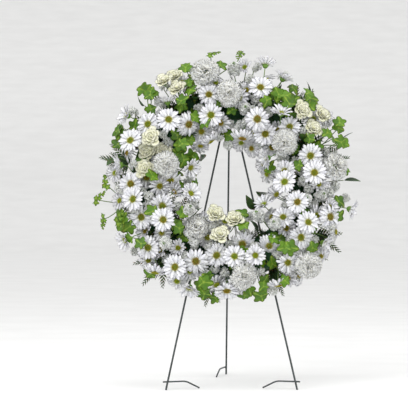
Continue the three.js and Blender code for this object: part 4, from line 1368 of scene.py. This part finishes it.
def small_daisy(name, tilt_in, tilt_out, seed):
    """A plainer head of fewer petals, for the lower layer."""
    def top(u, v):
        half = 4.2 * MM * (0.42 + 0.58 * math.sin(math.pi * (0.06 + 0.66 * u)))
        return 25 * MM * u * (1 - 0.1 * v * v * u), v * half, MM * v * v - 3 * MM * u * u
    cup = turned(name, [(0, -6 * MM), (6 * MM, -4 * MM), (8 * MM, 0), (0, 1 * MM)], 8)
    cup.materials.append(CALYX)
    domed = grown(name + "_disc", WHORL, cup, Organ=bead, Count=34, Divergence=GOLDEN_ANGLE, Spread=0.5,
                  RadiusOut=7.5 * MM, RiseIn=3.4 * MM, RiseOut=1.2 * MM, SizeIn=1.5, SizeOut=1.5, Jitter=0.25,
                  Seed=seed, Material=DISC)
    whole = grown(name, WHORL, domed.data, Organ=organ(name + "_petal",
                                                       blade(name + "_petal", 4, 2, top)), Count=20,
                  Divergence=DAISY_DIVERGENCE, RadiusIn=6 * MM, RadiusOut=7 * MM,
                  TiltIn=math.radians(tilt_in),
                  TiltOut=math.radians(tilt_out), Jitter=0.12, Seed=seed, Material=DAISY_WHITE)
    bpy.data.objects.remove(domed)
    return whole


def lateral(one, other, facing):
    """Distance of two points seen along a facing."""
    apart = other - one
    return (apart - facing * apart.dot(facing)).length


def filled_in():
    """Where each filler stands: in what gaps the plan leaves, below the larger heads."""
    chance = random.Random("filling")
    made = []
    for number in range(FILLER_TRIES):
        hour, across = 12 * (number * HOUR_STEP % 1), 2.1 * (number * ACROSS_STEP % 1) - 1.05
        centre, facing = seat(hour, across, chance.uniform(-24, -6) * MM)
        nearest = min(HEADS, key=lambda head: (head["centre"] - centre).length)
        near_leaf = nearest["kind"] == "leaf_spray"
        what = chance.choice([LEAF, LEAF, DARK] if near_leaf
                             else [LEAF, SMALL_DAISY, FLORETS, SMALL_DAISY, FLORETS, DARK])
        radius = FILLER_RADIUS[what]
        overlap = 0.7 if what == DARK else 0.2
        clear = all(lateral(centre, head["centre"], facing) > 0.62 * head["radius"] + overlap * radius
                    for head in HEADS)
        if clear and all(lateral(centre, other["centre"], facing) > 0.62 * (radius + other["radius"])
                         for other in made):
            made.append(dict(centre=centre, facing=facing, what=what, radius=radius, hour=hour))
    return made


FILLER_FORMS = gathered(
    "filler_forms", organ("leaf_level", leaf_forms_kept[0]), organ("leaf_cupped", leaf_forms_kept[1]),
    organ("leaf_drooping", leaf_forms_kept[2]), small_daisy("small_flat", 22, 4, 51),
    small_daisy("small_cup", 55, 34, 52),
    small_daisy("small_nod", 2, -22, 53), STOCK_CLUSTER, organ("dark_blade", dark_leaf),
)


def filler(name, parts, slot):
    """One piece of fillers, each head on a stalk that is rooted in the foam."""
    chance = random.Random(name)
    stalks, heads = [], []
    for part in parts:
        facing = (part["facing"] + Vector([chance.uniform(-0.5, 0.5) for _ in range(3)])).normalized()
        around = part["centre"] - WREATH
        around = (around - FORWARD * around.dot(FORWARD)).normalized()
        root = WREATH + around * BAND_MIDDLE + FORWARD * STEM_AIM
        stalks.append(([root, part["centre"] - facing * (14 * MM), part["centre"] - facing * (2 * MM)],
                       [1.3 * MM, 1.2 * MM, 1 * MM]))
        form = {LEAF: chance.choice([0, 1, 2]), SMALL_DAISY: chance.choice([3, 4, 5]), FLORETS: 6,
                DARK: 7}[part["what"]]
        heads.append(dict(centre=part["centre"], facing=facing, spin=chance.uniform(0, 6.28), form=form,
                          ripe=chance.uniform(0, 0.9), size=chance.uniform(0.8, 1.0)))
    fitted(grown(name, SPRAY, planted(name, stalks, heads), Heads=FILLER_FORMS, Material=STALK),
           "frame_and_wreath", slot)


FILLERS = filled_in()
for quarter in range(4):
    here = [part for part in FILLERS if int(part["hour"] // 3) == quarter]
    filler(f"white_fillers_{quarter + 1}", [part for part in here
                                            if part["what"] in (SMALL_DAISY, FLORETS)], "daisy")
    filler(f"green_fillers_{quarter + 1}", [part for part in here if part["what"] in (LEAF, DARK)],
           "ivy_leaf")
tucked = []
for number, (hour, radius) in enumerate(TUCKED_LEAVES):
    centre, facing = seat(hour, max(-1, min(1, (radius * MM - BAND_MIDDLE) / BAND_HALF)),
                          (6 + 9 * (number % 3)) * MM)
    tucked.append(dict(centre=centre, facing=facing, what=LEAF))
filler("tucked_ivy", tucked, "ivy_leaf")


# ---- Helpers away ----
# The petals, leaflets and forms that the trees copied stay with nobody, so they go.

for each in list(HELPERS.all_objects):
    bpy.data.objects.remove(each)


# ---- Floor, light and camera ----
# A pale floor that turns up far behind, soft light from both sides and above, and a long lens at
# chest height.

backdrop = bpy.data.meshes.new("backdrop")
sweep = [(-40, 0), (12, 0), (14, 0.6), (15, 2.4), (15.4, 14)]
backdrop.from_pydata([(x, y, z) for y, z in sweep for x in (-40, 40)], [],
                     [(2 * i, 2 * i + 1, 2 * i + 3, 2 * i + 2) for i in range(len(sweep) - 1)],
                     shade_flat=False)
paper, paper_tree, paper_shader = surface("matt_white_paper", Roughness=0.9)
tooth = node(paper_tree, "ShaderNodeTexNoise", {"Scale": 300.0})
shade = node(paper_tree, "ShaderNodeValToRGB", {"Fac": tooth.outputs["Fac"]},
             [(0.3, "#f2f2f2"), (0.7, "#f7f7f7")])
paper_tree.links.new(shade.outputs["Color"], paper_shader.inputs["Base Color"])
backdrop.materials.append(paper)
studio = bpy.data.objects.new("backdrop", backdrop)
bpy.context.scene.collection.objects.link(studio)

for name, place, size, power in (("key", (-1.8, -2.6, 2.6), 1.6, 46), ("fill", (2.4, -2.4, 1.4), 2.2, 18),
                                 ("top", (0.2, -0.6, 3.2), 1.8, 22)):
    lamp = bpy.data.lights.new(name, "AREA")
    lamp.size, lamp.energy = size, power
    lit = bpy.data.objects.new(name, lamp)
    lit.location = place
    lit.rotation_euler = (Vector((0, 0, 0.5)) - Vector(place)).to_track_quat("-Z", "Y").to_euler()
    bpy.context.scene.collection.objects.link(lit)

world = bpy.data.worlds.new("studio_air")
world.use_nodes = True
world.node_tree.nodes["Background"].inputs["Color"].default_value = linear("#fdfdfc")
world.node_tree.nodes["Background"].inputs["Strength"].default_value = 0.9
bpy.context.scene.world = world
bpy.context.scene.view_settings.view_transform = "Standard"

lens = bpy.data.cameras.new("camera")
lens.lens, lens.sensor_width = 165.7, 36
lens.clip_start, lens.clip_end = 0.1, 60
camera = bpy.data.objects.new("camera", lens)
camera.location = (-0.155, -5.0, 0.491)
camera.rotation_euler = (math.pi / 2 - 0.0026, 0, -0.0206)
bpy.context.scene.collection.objects.link(camera)
bpy.context.scene.camera = camera
